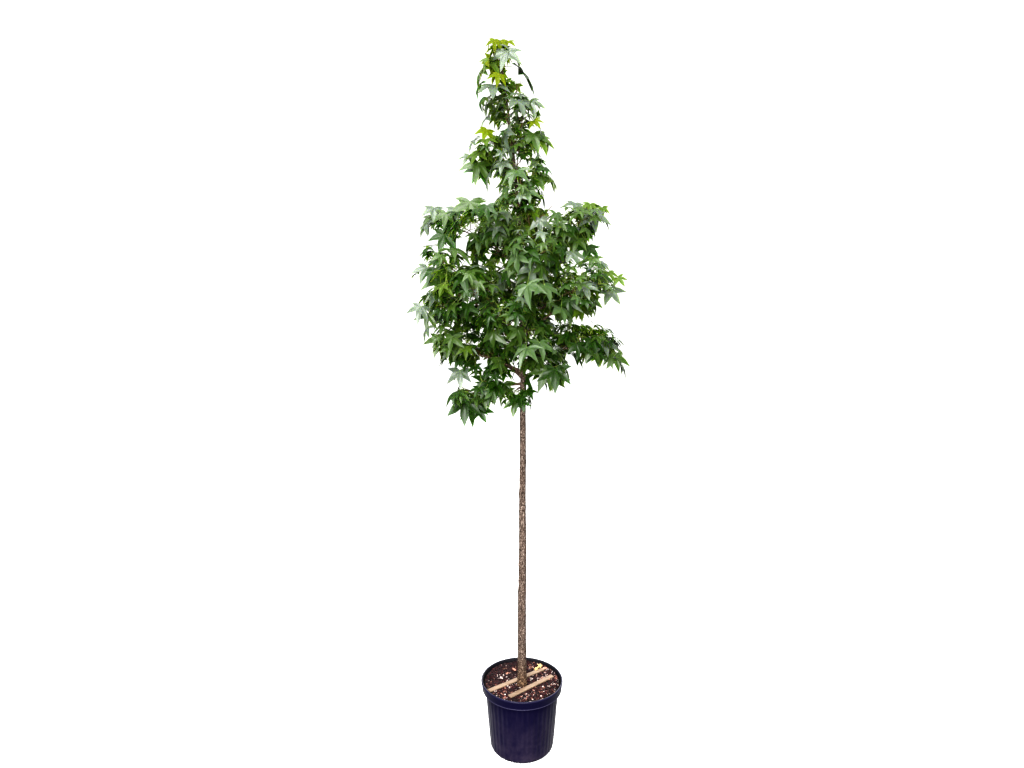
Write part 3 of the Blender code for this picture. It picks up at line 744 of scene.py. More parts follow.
# Boughs. Azimuth is in degrees from +X, turning towards +Y: 0 right, 90 back, 180 left, 270 front. height
# is where it leaves the trunk. reach and tip are where its stem ends, out from the trunk and above the
# ground. bare is the share with no leaves. seed picks how its mass grows.
Bough = namedtuple("Bough", "name limb height azimuth reach tip bare seed")
BOUGHS = (
    Bough("lowest_spur", False, 1.565, 232, 0.060, 1.550, 0.35, 3004),
    Bough("lowest_left", False, 1.585, 186, 0.235, 1.535, 0.36, 3027),
    Bough("lowest_front_right", False, 1.610, 312, 0.200, 1.660, 0.25, 3047),
    Bough("low_back_left", True, 1.610, 138, 0.300, 1.720, 0.28, 3014),
    Bough("low_left", True, 1.630, 192, 0.290, 1.725, 0.28, 3081),
    Bough("low_back_right", True, 1.640, 46, 0.300, 1.750, 0.28, 3081),
    Bough("low_right", True, 1.670, 2, 0.345, 1.760, 0.28, 3038),
    Bough("low_front", True, 1.690, 258, 0.300, 1.820, 0.26, 3062),
    Bough("low_back", True, 1.710, 92, 0.320, 1.850, 0.28, 3039),
    Bough("middle_left", True, 1.720, 172, 0.370, 1.900, 0.28, 3020),
    Bough("middle_front_left", True, 1.760, 222, 0.340, 1.930, 0.26, 3014),
    Bough("middle_front_right", True, 1.780, 320, 0.310, 1.930, 0.26, 3076),
    Bough("middle_back_right", True, 1.810, 60, 0.320, 1.990, 0.28, 3081),
    Bough("middle_right", True, 1.840, 350, 0.315, 2.010, 0.28, 3022),
    Bough("middle_back_left", True, 1.850, 124, 0.330, 2.030, 0.28, 3014),
    Bough("high_left", True, 1.880, 190, 0.340, 2.050, 0.28, 3046),
    Bough("high_front", True, 1.900, 280, 0.270, 2.080, 0.26, 3020),
    Bough("high_back_right", True, 1.960, 66, 0.280, 2.150, 0.28, 3027),
    Bough("high_back_left", False, 2.000, 118, 0.240, 2.190, 0.20, 3071),
    Bough("top_front_left", True, 2.020, 234, 0.240, 2.210, 0.26, 3071),
    Bough("top_right", True, 2.050, 6, 0.295, 2.280, 0.28, 3052),
    Bough("top_left", True, 2.060, 176, 0.320, 2.255, 0.28, 3066),
    Bough("top_back", False, 2.120, 92, 0.180, 2.300, 0.18, 3011),
    Bough("top_front_right", False, 2.130, 306, 0.130, 2.260, 0.18, 3051),
    Bough("spire_left", False, 2.400, 180, 0.130, 2.545, 0.20, 3031),
    Bough("spire_front", False, 2.230, 258, 0.090, 2.350, 0.20, 3051),
    Bough("spire_back", False, 2.270, 84, 0.080, 2.390, 0.20, 3031),
    Bough("spire_right", False, 2.310, 350, 0.075, 2.430, 0.20, 3053),
    Bough("spire_high_front", False, 2.440, 290, 0.060, 2.560, 0.15, 3038),
    Bough("spire_high_back", False, 2.500, 98, 0.060, 2.620, 0.15, 3066),
    Bough("spire_high_right", False, 2.550, 352, 0.055, 2.670, 0.15, 3047),
    Bough("spire_high_left", False, 2.620, 200, 0.055, 2.740, 0.15, 3072),
    Bough("spire_top_right", False, 2.700, 20, 0.045, 2.800, 0.15, 3060),
)
LEADER_TIP = ((-0.078, -0.018, 2.840), (-0.092, -0.020, 2.925))
LEADER_SEED = 3041
BOUGH_ROOT_RADIUS = 0.0062
BOUGH_THINNING = 0.0028
STEM_THINNER = 0.7  # a stem with no bough of its own is thinner by this
BOUGH_POINTS = 14
BOUGH_STEP = 0.007
BOUGH_LIFT = 0.62
BOUGH_SHOULDER = 0.02
BOUGH_COLLAR = 0.030  # how far out a bough's foot is swollen
COLLAR_SWELL = 0.7
KNUCKLE = 0.10
STEM_TIP_RADIUS = 0.0015


def even(first, last, count):
    """count numbers at even steps from first to last."""
    return [first + (last - first) * i / (count - 1) for i in range(count)]


def trunk_at(height):
    """(middle, radius) of the trunk at a height."""
    for low, high in zip(TRUNK, TRUNK[1:]):
        if height <= high.z:
            break
    share = (height - low.z) / (high.z - low.z)
    return Vector(low[:3]).lerp(Vector(high[:3]), share), low.radius + (high.radius - low.radius) * share


def bough_curve(bough):
    """Where a bough starts, bends and ends."""
    foot, _ = trunk_at(bough.height)
    angle = math.radians(bough.azimuth)
    out = Vector((math.cos(angle), math.sin(angle), 0)) * bough.reach
    rise = bough.tip - bough.height
    return foot, foot + out * 0.5 + UP * (rise * BOUGH_LIFT + BOUGH_SHOULDER), foot + out + UP * rise


def curve(start, bend, end, count):
    """Points at even shares of the curve that leaves start for bend and ends at end."""
    return [start.lerp(bend, s).lerp(bend.lerp(end, s), s) for s in even(0.0, 1.0, count)]


def carried_frames(points):
    """(side, across) at each point of a line, square to it and turned as little as can be."""
    frames = []
    side = None
    for i in range(len(points)):
        along = (points[min(i + 1, len(points) - 1)] - points[max(i - 1, 0)]).normalized()
        start = side or (UP.cross(along) if abs(along.z) < 0.9 else Vector((1, 0, 0)))
        side = (start - along * start.dot(along)).normalized()
        frames.append((side, along.cross(side)))
    return frames


class Limb:
    """A tapering limb through a few points."""

    def __init__(self, points, first_radius, last_radius):
        self.points = points
        self.radii = even(first_radius, last_radius, len(points))
        self.frames = carried_frames(points)
        self.reaches = [0.0]
        for a, b in zip(points, points[1:]):
            self.reaches.append(self.reaches[-1] + (b - a).length)
        self.length = self.reaches[-1]

    def run(self, share):
        """Which run of the limb a share of its length falls in, and how far along that run."""
        reach = share * self.length
        for i, limit in enumerate(self.reaches[1:]):
            if reach <= limit:
                break
        return i, (reach - self.reaches[i]) / (self.reaches[i + 1] - self.reaches[i])

    def at(self, share):
        i, part = self.run(share)
        return self.points[i].lerp(self.points[i + 1], part)

    def radius(self, share):
        i, part = self.run(share)
        return self.radii[i] + (self.radii[i + 1] - self.radii[i]) * part

    def along(self, share):
        i, _ = self.run(share)
        return (self.points[i + 1] - self.points[i]).normalized()

    def around(self, share, turn):
        """The way out from the limb at an angle round it."""
        side, across = self.frames[self.run(share)[0]]
        return side * math.cos(turn) + across * math.sin(turn)

    def sheet(self, skip):
        """(points, faces) of a thin three-sided tube, without the first skip of its length."""
        low = self.at(skip)
        points, faces = [], []
        rows = [low] + [p for p, r in zip(self.points, self.reaches) if r > skip * self.length + 1e-4]
        for row, middle in enumerate(rows):
            radius = self.radius(min(1.0, skip + (1 - skip) * row / max(1, len(rows) - 1)))
            points += [middle + self.around(skip, k * math.tau / 3) * radius for k in range(3)]
        for row in range(len(rows) - 1):
            for k in range(3):
                a, b = row * 3 + k, row * 3 + (k + 1) % 3
                faces.append((a, b, b + 3, a + 3))
        return points, faces


def young_bark(name, base, pale, dark, foot=None):
    """Young sweetgum bark: grey-brown, roughened by fine corky flecks, with dark furrows between."""
    made, tree, shader = material(name, Roughness=0.9, IOR=1.4)
    coords = coordinates(tree)
    flecks = grain(tree, stretched(tree, coords, (260, 260, 150)), 1, 3, Roughness=0.6)
    colour = ramp(tree, flecks, (0.39, dark), (0.47, base), (0.55, base), (0.66, pale))
    tone = mapped(tree, grain(tree, coords, 24, 3), (0.3, 0.7), (0.78, 1.16))
    colour = mixed(tree, 1.0, colour, tone, "MULTIPLY")
    if foot:
        height = add(tree, "SeparateXYZ", {"Vector": coords}).outputs["Z"]
        colour = mixed(tree, mapped(tree, height, DAMP), colour, foot, "MULTIPLY")
    surface(tree, shader, colour, flecks, 0.6, 0.8 * MM)
    return made


def relief(place, depth):
    """How far the bark stands out here: fine plates drawn out upwards, and corky warts."""
    plates = noise.noise(Vector((place.x, place.y, place.z * 0.4)) * 330)
    warts = max(0.0, noise.noise(Vector((place.x, place.y, place.z * 0.7)) * 210 + UP * 50) - WART_LEVEL)
    return depth * (PLATES * plates + WARTS * warts + SWELL * noise.noise(place * 26))


def trunk_mesh():
    """The trunk with the bark's relief, scars and node ring."""
    count = int((TRUNK[-1].z - TRUNK[0].z) / TRUNK_STEP)
    run = [trunk_at(height) for height in even(TRUNK[0].z, TRUNK[-1].z, count)]
    smooth = []
    for i, (middle, radius) in enumerate(run):
        near = run[max(0, i - TRUNK_SMOOTHING):i + TRUNK_SMOOTHING + 1]
        smooth.append((sum((m for m, _ in near), Vector()) / len(near), radius))
        smooth[-1][0].z = middle.z
    bm = tubes([smooth], 22)
    for v in bm.verts:
        middle, radius = trunk_at(min(v.co.z, TRUNK[-1].z))
        out = Vector((v.co.x - middle.x, v.co.y - middle.y, 0))
        if out.length < radius * 0.5:
            continue
        turn = math.degrees(math.atan2(out.y, out.x)) % 360
        grow = relief(v.co, MM * min(1, radius / FULL_RELIEF))
        for height, azimuth, size, tall in SCARS:
            if abs(v.co.z - height) < 3 * tall:
                apart = min(abs(turn - azimuth), 360 - abs(turn - azimuth)) / SCAR_SPREAD
                grow += size * math.exp(-((v.co.z - height) / tall) ** 2 - apart ** 2)
        grow += NODE_RING_SWELL * math.exp(-((v.co.z - NODE_RING) / NODE_RING_TALL) ** 2)
        flare = max(0, 1 - (v.co.z - MIX_TOP) / FLARE)
        grow += flare ** 2 * FLARE_SWELL * math.cos(math.radians(turn) * 5 + 1)
        v.co += out.normalized() * grow
    return bm


bark = young_bark("young_bark", "594A41", "AE9E92", "20160F", foot="E4D0B2")
trunk = piece("trunk_bark", trunk_mesh(), bark, sharp=70)
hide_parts("trunk")


def bough_limbs():
    """Each bough from the trunk to the tip of its stem, by name."""
    limbs = {}
    for bough in BOUGHS:
        root = BOUGH_ROOT_RADIUS - BOUGH_THINNING * (bough.height - BOUGHS[0].height)
        if not bough.limb:
            root *= STEM_THINNER
        limbs[bough.name] = Limb(curve(*bough_curve(bough), BOUGH_POINTS), root, STEM_TIP_RADIUS)
    foot, end = (Vector(point) for point in LEADER_TIP)
    limbs["leader_tip"] = Limb([foot, foot.lerp(end, 0.5), end], TRUNK[-2].radius, TRUNK[-1].radius)
    return limbs


def bough_runs(limbs):
    """Points and radii for the boughs' tubes, with a swollen collar at the trunk."""
    runs = []
    for limb in (limb for name, limb in limbs.items() if name != "leader_tip"):
        run = []
        for share in even(0.0, 1.0, max(12, int(limb.length / BOUGH_STEP))):
            reach = share * limb.length
            collar = 1 + COLLAR_SWELL * math.exp(-((reach / BOUGH_COLLAR) ** 2))
            knuckle = 1 + KNUCKLE * noise.noise(Vector((reach * 60, len(runs) * 3.7, 0)))
            run.append((limb.at(share), limb.radius(share) * collar * knuckle))
        runs.append(run)
    return runs


limbs = bough_limbs()
bough_bark = young_bark("bough_bark", "5A4A3C", "94836F", "33261E")
boughs = piece("bough_bark", tubes(bough_runs(limbs), 3), bough_bark, sharp=70)
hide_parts(*(name for name in frame["nodes"] if name.startswith("bough_")))

# ---- growth of twigs and leaves ----

TWIG_SPACING = 0.048
TWIG_LENGTH = 0.135
TWIG_TAPER = 0.45
TWIG_SPREAD = 0.18
TWIG_FIRST = 0.4
TWIG_ANGLE = (40.0, 62.0)
TWIG_LIFT = (-0.1, 0.5)
TWIG_ROOT_RADIUS = 0.0019
TWIG_TIP_RADIUS = 0.0011
TWIG_BARE = 0.28
SHOOT_BARE = 0.5
TWIG_ARCH = (0.02, 0.08)
TWIG_POINTS = 5
TWIG_RINGS = 6
TWIG_COLLAR = 1.25
SHOOT_COLLAR = 1.3
FRESH_LEAVES = 3  # how many at a tip are still growing
FRESH_SMALLER = 0.25
LEAST_VIGOUR = 0.30  # share of the twigs' length on the shortest stems
FULL_VIGOUR = 0.42  # stems this long carry twigs nearly twice that share
SHOOT_LENGTH = (0.035, 0.060)  # finer twigs that leave the side twigs
SHOOT_SHARES = (0.40, 0.68)
LEAF_SIZE = (0.042, 0.084)
LEAF_SPACING = 0.021
TIP_SPACING = 0.0045
STEM_TIP_LEAVES = 6
TWIG_TIP_LEAVES = 5
SHOOT_TIP_LEAVES = 4
PETIOLE_LENGTH = (0.028, 0.060)
PETIOLE_RADIUS = (0.0011, 0.0007)
PETIOLE_ARCH = 0.07
PETIOLE_OVERLAP = 0.002
LEAF_LEAN = (0.2, 1.0)
DROOP = (20.0, 86.0)
LEAST_BEND = math.radians(4)
MOST_BEND = math.radians(85)
ROLL = 0.40
GOLDEN_TURN = math.radians(137.5)
TRIES = 9
SPACE_STEP = 0.02
SPACE_SLACK = 0.045
CELL = 0.09
ROOT_CLEAR = 0.008
# Where the crown is open to the sky for someone standing in front: millimetres to the right of the pot's
# middle and above the ground, and the opening's radius
STANDPOINT = Vector((-0.043, -2.45, 1.71))
CLEARINGS = [tuple(part / 1000 for part in opening) for opening in (
    (130, 2346, 34), (-390, 2193, 26), (351, 1918, 26), (-171, 2408, 24), (336, 2226, 22),
    (-41, 2875, 20), (-8, 2835, 18), (-169, 1664, 19), (-237, 1575, 18), (205, 1686, 18),
    (-129, 2362, 16), (-238, 2214, 16), (-20, 1571, 16), (21, 2791, 16), (-260, 2177, 15),
    (401, 1997, 15), (-188, 1610, 15), (44, 1588, 15), (-196, 2244, 8), (-115, 2157, 12),
    (-148, 2117, 10), (-90, 2090, 12), (255, 2052, 14), (-60, 2530, 10), (-215, 1756, 12),
    (-78, 1790, 10), (-43, 1838, 10), (45, 1795, 9), (-222, 1935, 12), (12, 2490, 9),
    (66, 2786, 22),
)]

# The leaves that draw the crown's outline from the front, each placed by itself: its kind, where its blade
# joins its petiole and where its tip hangs, both in millimetres, and which way its upper side faces
# A placed leaf's kind follows how pale or dark it looks from the front, so the kinds carry painted sheen and
# painted shade as well as their own greens
PLACED_LEAVES = (
    ("young", (-60, -20, 2987), (-76, -44, 2939), "front"),
    ("young", (-133, -30, 2982), (-141, -30, 2931), "left"),
    ("young", (-92, -40, 2977), (-92, -50, 2928), "front"),
    ("young", (-112, -60, 2970), (-119, -70, 2922), "front"),
    ("cool", (-47, -40, 2941), (-7, -40, 2858), "right"),
    ("cool", (-67, -70, 2922), (-79, -90, 2831), "front"),
    ("young", (-136, -50, 2901), (-172, -60, 2802), "left"),
    ("bright", (-132, -60, 2896), (-100, -70, 2828), "front"),
    ("deep", (-7, -30, 2867), (51, -30, 2768), "right"),
    ("deep", (-76, -10, 2820), (-43, -35, 2837), "back"),
    ("young", (-95, -90, 2822), (-110, -115, 2770), "front"),
    ("deep", (-175, -20, 2816), (-195, -20, 2760), "left"),
    ("cool", (-116, -75, 2786), (-114, -145, 2704), "front"),
    ("deep", (-170, -30, 2748), (-174, -30, 2700), "left"),
    ("cool", (47, -20, 2744), (80, -20, 2708), "right"),
    ("cool", (30, -40, 2739), (50, -60, 2667), "front"),
    ("mid", (25, -70, 2707), (29, -70, 2648), "left"),
    ("cool", (-142, -20, 2688), (-166, -30, 2627), "left"),
    ("young", (45, -80, 2644), (72, -100, 2605), "front"),
    ("deep", (76, -30, 2627), (109, -30, 2531), "right"),
    ("young", (-146, -40, 2624), (-165, -60, 2568), "front"),
    ("mid", (46, -60, 2600), (61, -80, 2518), "front"),
    ("cool", (-196, -20, 2595), (-221, -20, 2538), "left"),
    ("cool", (-221, -20, 2526), (-252, -40, 2479), "front"),
    ("mid", (-182, -50, 2488), (-202, -70, 2394), "front"),
    ("cool", (-133, -60, 2453), (-145, -70, 2358), "left"),
    ("bright", (93, -30, 2446), (138, -30, 2369), "right"),
    ("mid", (58, -60, 2429), (90, -80, 2363), "front"),
    ("sage", (-28, -140, 2428), (-47, -180, 2343), "front_left"),
    ("deep", (72, -30, 2381), (101, -30, 2312), "right"),
    ("deep", (-197, -10, 2354), (-143, -10, 2345), "up"),
    ("cool", (217, -30, 2332), (212, -80, 2271), "front"),
    ("mid", (-215, -50, 2331), (-214, -70, 2230), "front"),
    ("bright", (278, -40, 2325), (271, -60, 2276), "front"),
    ("bright", (332, -10, 2317), (339, -20, 2269), "front"),
    ("cool", (-364, -40, 2309), (-365, -70, 2242), "front"),
    ("cool", (-278, -40, 2309), (-267, -70, 2246), "front"),
    ("cool", (322, -20, 2286), (364, -20, 2220), "right"),
    ("mid", (-313, -60, 2284), (-323, -80, 2215), "front"),
    ("cool", (289, -50, 2282), (303, -70, 2197), "front"),
    ("mid", (-376, -20, 2277), (-366, -30, 2218), "front"),
    ("deep", (-292, -30, 2259), (-257, -50, 2193), "front"),
    ("cool", (-391, -30, 2255), (-437, -30, 2197), "left"),
    ("deep", (280, -30, 2255), (313, -30, 2177), "right"),
    ("cool", (-390, -10, 2251), (-424, -10, 2185), "left"),
    ("deep", (291, -10, 2243), (290, -20, 2171), "left"),
    ("deep", (-319, -50, 2197), (-345, -70, 2117), "front"),
    ("deep", (279, -40, 2142), (312, -69, 2121), "front"),
    ("mid", (-287, -120, 2128), (-193, -150, 2064), "up"),
    ("cool", (318, -60, 2082), (356, -80, 2042), "up"),
    ("cool", (-389, -80, 2059), (-415, -100, 1996), "front"),
    ("cool", (-429, -60, 2045), (-463, -77, 2015), "left"),
    ("bright", (355, -60, 2045), (373, -79, 2002), "front"),
    ("cool", (344, -50, 2034), (378, -50, 1977), "right"),
    ("bright", (392, -60, 2021), (418, -78, 1982), "front"),
    ("mid", (-342, -100, 2012), (-339, -130, 1921), "front"),
    ("sage", (12, -320, 1960), (30, -360, 1872), "front_left"),
    ("cool", (357, -50, 1973), (406, -60, 1911), "front"),
    ("cool", (-206, -200, 1968), (-231, -230, 1908), "front"),
    ("mid", (275, -80, 1933), (281, -100, 1859), "front"),
    ("cool", (-416, -80, 1902), (-437, -100, 1838), "front"),
    ("sage", (140, -280, 1880), (157, -330, 1818), "front_right"),
    ("mid", (-390, -60, 1874), (-405, -70, 1803), "front"),
    ("cool", (-388, -70, 1820), (-412, -80, 1762), "left"),
    ("cool", (378, -10, 1785), (434, -10, 1734), "right"),
    ("mid", (-342, -80, 1774), (-369, -100, 1705), "front"),
    ("cool", (338, -50, 1763), (355, -80, 1693), "front"),
    ("deep", (231, -80, 1746), (229, -100, 1681), "front"),
    ("sage", (112, -245, 1735), (150, -275, 1662), "right"),
    ("sage", (10, -330, 1732), (-12, -360, 1654), "front_left"),
    ("mid", (283, -60, 1738), (256, -80, 1668), "front"),
    ("cool", (-289, -120, 1729), (-318, -150, 1681), "front"),
    ("deep", (307, -40, 1717), (313, -60, 1651), "front"),
    ("mid", (388, -30, 1701), (406, -50, 1630), "front"),
    ("mid", (365, -20, 1701), (376, -30, 1642), "front"),
    ("deep", (-259, -100, 1689), (-278, -120, 1645), "front"),
    ("cool", (405, -10, 1688), (452, -10, 1603), "right"),
    ("mid", (153, -180, 1670), (180, -190, 1595), "right"),
    ("deep", (125, -200, 1650), (125, -225, 1553), "front"),
    ("deep", (-195, -80, 1660), (-186, -100, 1615), "front"),
    ("deep", (-121, -80, 1652), (-104, -100, 1587), "front"),
    ("mid", (93, -200, 1647), (50, -210, 1573), "front"),
    ("cool", (-255, -100, 1640), (-254, -120, 1564), "front"),
    ("deep", (-139, -60, 1593), (-211, -90, 1558), "front"),
    ("mid", (-80, -70, 1585), (-84, -90, 1504), "front"),
    ("mid", (23, -60, 1585), (48, -60, 1535), "right"),
    ("mid", (-163, -70, 1536), (-150, -90, 1479), "front"),
    ("mid", (28, -50, 1534), (40, -50, 1471), "right"),
    ("mid", (-30, -80, 1520), (-37, -100, 1448), "front"),
    ("deep", (-240, -60, 1514), (-240, -80, 1418), "front"),
    ("deep", (-215, -40, 1500), (-197, -60, 1405), "front"),
    ("deep", (-186, -30, 1478), (-152, -40, 1416), "front"),
    ("mid", (227, -60, 2179), (197, -80, 2115), "front"),
    ("deep", (269, -50, 2153), (251, -70, 2084), "front"),
    ("cool", (201, -80, 2123), (227, -100, 2060), "front"),
    ("mid", (289, -60, 2106), (266, -80, 2042), "front"),
    ("deep", (252, -30, 2091), (278, -50, 2034), "right"),
    ("bright", (75, -50, 2588), (90, -70, 2521), "front"),
    ("mid", (-162, -30, 2875), (-186, -40, 2783), "left"),
    ("mid", (174, -200, 1876), (191, -230, 1812), "front"),
    ("deep", (-175, -30, 2474), (-212, -40, 2406), "front"),
    ("bright", (117, -40, 2431), (137, -50, 2367), "right"),
    ("sage", (60, -290, 1752), (68, -325, 1676), "front_right"),
    ("sage", (76, -310, 1962), (100, -340, 1890), "front_right"),
    ("cool", (-22, -100, 2715), (8, -140, 2635), "front_right"),
    ("cool", (-68, -110, 2592), (-60, -140, 2502), "left"),
)
FACES = {
    "front": Vector((0, -1, 0.5)),
    "front_left": Vector((-0.55, -1, 0.6)),
    "front_right": Vector((0.55, -1, 0.6)),
    "left": Vector((-1, -0.35, 0.4)),
    "right": Vector((1, -0.35, 0.4)),
    "up": Vector((0, -0.35, 1)),
    "back": Vector((0, 1, 0.4)),
}
TIP_DROP = 0.235  # how far a blade's tip hangs below the line of its base
LONGEST_PETIOLE = 0.065
# Where a placed leaf may hang: between these shares of a twig, tried at this step
HANGER_SPAN = (0.1, 0.97)
HANGER_STEP = 0.008
STEM_HANGER = 0.6  # on a mass's own stem, from this share of its bare part
# The place whose nearest twig carries the leaf: above its joint and behind its blade
HANGER_LIFT = UP * 0.01
HANGER_BACK = Vector((0, 0.02, 0))

# Half of a blade's outline, from its middle tip to the notch at its joint: degrees from the midrib, share
# of the blade's length, and how much it stands up between the ribs
HALF_LEAF = (
    (0.0, 1.00, 0.0),
    (15.0, 0.65, 0.6),
    (24.0, 0.42, 1.0),
    (36.5, 0.61, 0.6),
    (51.0, 0.95, 0.0),
    (66.5, 0.59, 0.6),
    (79.0, 0.38, 1.0),
    (93.0, 0.48, 0.5),
    (107.0, 0.70, 0.0),
    (121.0, 0.45, 0.6),
    (139.0, 0.26, 0.5),
    (180.0, 0.05, 0.0),
)
# The same of the plain star that stands for a blade where leaves are tried, with how far each point droops
HALF_TEST_STAR = (
    (0, 1.0, 0.22), (25, 0.50, 0.0), (50, 0.94, 0.20), (80, 0.43, 0.0), (108, 0.66, 0.1), (180, 0.05, 0.0)
)
LEAF_RING = 0.52  # the ring of points between the joint and the rim
LEAF_THICKNESS = 0.008
LOBE_TURNS = (0, 51, -51, 107, -107)
BACK_EDGE = 130  # degrees: past here the outline belongs to no lobe
TEMPLATES = 12
# What varies from blade to blade
SLACK = (0.0, 0.22)
SLIMNESS = (0.76, 1.06)
WEB = (0.88, 1.12)
FOLD = (0.07, 0.20)
TWIST = (-0.18, 0.18)
# and from lobe to lobe
LOBE_DROOP = (0.06, 0.26)
LOBE_SWING = (-7, 7)
LOBE_REACH = (0.86, 1.04)


def mirrored(half):
    """A whole outline from its right half: degrees to the right of the midrib, share of length, stand."""
    return list(half) + [(-turn, share, stand) for turn, share, stand in half[-2:0:-1]]


def leaf_shape(rng):
    """A blade of unit length: joint at the origin, midrib along +Y, upper side up. (points, faces, unders)"""
    outline = mirrored(HALF_LEAF)
    bm = turned([(0, 0), (LEAF_RING, 0), (1, 0)], len(outline))
    if bm.faces[:][0].normal.z < 0:
        bmesh.ops.reverse_faces(bm, faces=bm.faces)
    slack = rng.uniform(*SLACK)
    droops = {turn: slack + rng.uniform(*LOBE_DROOP) for turn in LOBE_TURNS}
    slim, web, fold, twist = (rng.uniform(*span) for span in (SLIMNESS, WEB, FOLD, TWIST))
    swing = {turn: rng.uniform(*LOBE_SWING) for turn in LOBE_TURNS}
    reaches = {turn: rng.uniform(*LOBE_REACH) for turn in LOBE_TURNS}
    edge = []
    for v in bm.verts:
        ring = math.hypot(v.co.x, v.co.y)
        if ring < 0.01:
            continue
        k = round(math.atan2(v.co.y, v.co.x) / math.tau * len(outline)) % len(outline)
        turn, share, stand = outline[k]
        lobe = min(LOBE_TURNS, key=lambda t: abs(t - turn))
        if ring > 0.9:
            edge.append(v)
        in_lobe = stand < 1 and abs(turn) < BACK_EDGE
        if in_lobe and stand > 0:
            turn = lobe + (turn - lobe) * slim
        angle = math.radians(turn + (swing[lobe] * ring if in_lobe else 0))
        reach = share * ring * (web if stand == 1 else reaches[lobe])
        drop = droops[lobe] * reach ** 2 * 1.1
        right = math.sin(angle) * reach
        v.co = Vector((right, math.cos(angle) * reach, stand * fold * reach - drop + twist * right))
    copy = bmesh.ops.duplicate(bm, geom=bm.verts[:] + bm.edges[:] + bm.faces[:])["geom"]
    under_faces = [g for g in copy if isinstance(g, bmesh.types.BMFace)]
    bmesh.ops.reverse_faces(bm, faces=under_faces)
    edge_places = {tuple(round(c, 5) for c in v.co) for v in edge}
    for v in copy:
        if isinstance(v, bmesh.types.BMVert) and tuple(round(c, 5) for c in v.co) not in edge_places:
            v.co.z -= LEAF_THICKNESS
    for face in under_faces:
        face.material_index = 1
    bmesh.ops.remove_doubles(bm, verts=bm.verts, dist=1e-4)
    unders = [face.material_index for face in bm.faces]
    return *shape_of(bm), unders


def leaf_frame(joint, out, droop, roll):
    """Where a blade hangs: its midrib points out and down, and its upper side faces up and out."""
    flat = Vector((out.x, out.y, 0))
    flat = flat.normalized() if flat.length > 0.05 else Vector((1, 0, 0))
    midrib = flat * math.cos(droop) - UP * math.sin(droop)
    across = Matrix.Rotation(roll, 3, midrib) @ midrib.cross(UP).normalized()
    axes = Matrix((across, midrib, across.cross(midrib))).transposed().to_4x4()
    return Matrix.Translation(joint) @ axes


def test_star():
    """A plain five-lobed star for testing where leaves fit."""
    rims = mirrored(HALF_TEST_STAR)
    angles = [math.radians(turn) for turn, _, _ in rims]
    points = [Vector((0, 0.1, 0))]
    points += [Vector((math.sin(a) * r, math.cos(a) * r, -drop)) for a, (_, r, drop) in zip(angles, rims)]
    count = len(rims)
    return points, [(0, 1 + k, 1 + (k + 1) % count) for k in range(count)]


def cells_of(points):
    """The cells that a shape's box touches."""
    low = [min(p[i] for p in points) for i in range(3)]
    high = [max(p[i] for p in points) for i in range(3)]
    spans = [range(math.floor(a / CELL), math.floor(b / CELL) + 1) for a, b in zip(low, high)]
    return [(i, j, k) for i in spans[0] for j in spans[1] for k in spans[2]]


Leaf = namedtuple("Leaf", "frame length foot spray fresh kind")


class Crown:
    """What has grown so far, and whose space is whose."""

    def __init__(self):
        self.cells = defaultdict(list)
        self.samples = []
        self.star, self.star_faces = test_star()

    def claim(self, owner, limb, low):
        """The space nearest to this limb, from low to its tip, is its owner's."""
        steps = max(2, int(limb.length * (1 - low) / SPACE_STEP))
        self.samples += [(limb.at(low + (1 - low) * i / steps), owner) for i in range(steps + 1)]

    def settle(self):
        self.finder = tree_of([point for point, _ in self.samples])

    def owns(self, owner, point):
        """True where this owner's limb is the nearest, or nearly so."""
        nearest = self.finder.find(point)[2]
        found = self.finder.find_range(point, nearest + SPACE_SLACK)
        return any(self.samples[i][1] == owner for _, i, _ in found)

    def add(self, points, faces):
        tree = BVHTree.FromPolygons(points, faces)
        for cell in cells_of(points):
            self.cells[cell].append(tree)

    def free(self, points, faces):
        """True if the shape crosses nothing that has grown."""
        tree = BVHTree.FromPolygons(points, faces)
        seen = set()
        for cell in cells_of(points):
            for other in self.cells[cell]:
                if id(other) not in seen:
                    seen.add(id(other))
                    if tree.overlap(other):
                        return False
        return True


def in_clearing(places):
    """True where a blade, given by its middle and its rim, is in the way of the sky."""
    seen = [STANDPOINT.lerp(place, STANDPOINT.y / (STANDPOINT.y - place.y)) for place in places]
    for x, z, radius in CLEARINGS:
        if any(math.hypot(point.x - x, point.z - z) < radius for point in seen):
            return True
        turns = 0
        for a, b in zip(seen[2:], seen[3:] + seen[2:3]):
            if (a.z > z) != (b.z > z) and x < a.x + (b.x - a.x) * (z - a.z) / (b.z - a.z):
                turns += 1
        if turns % 2:
            return True
    return False


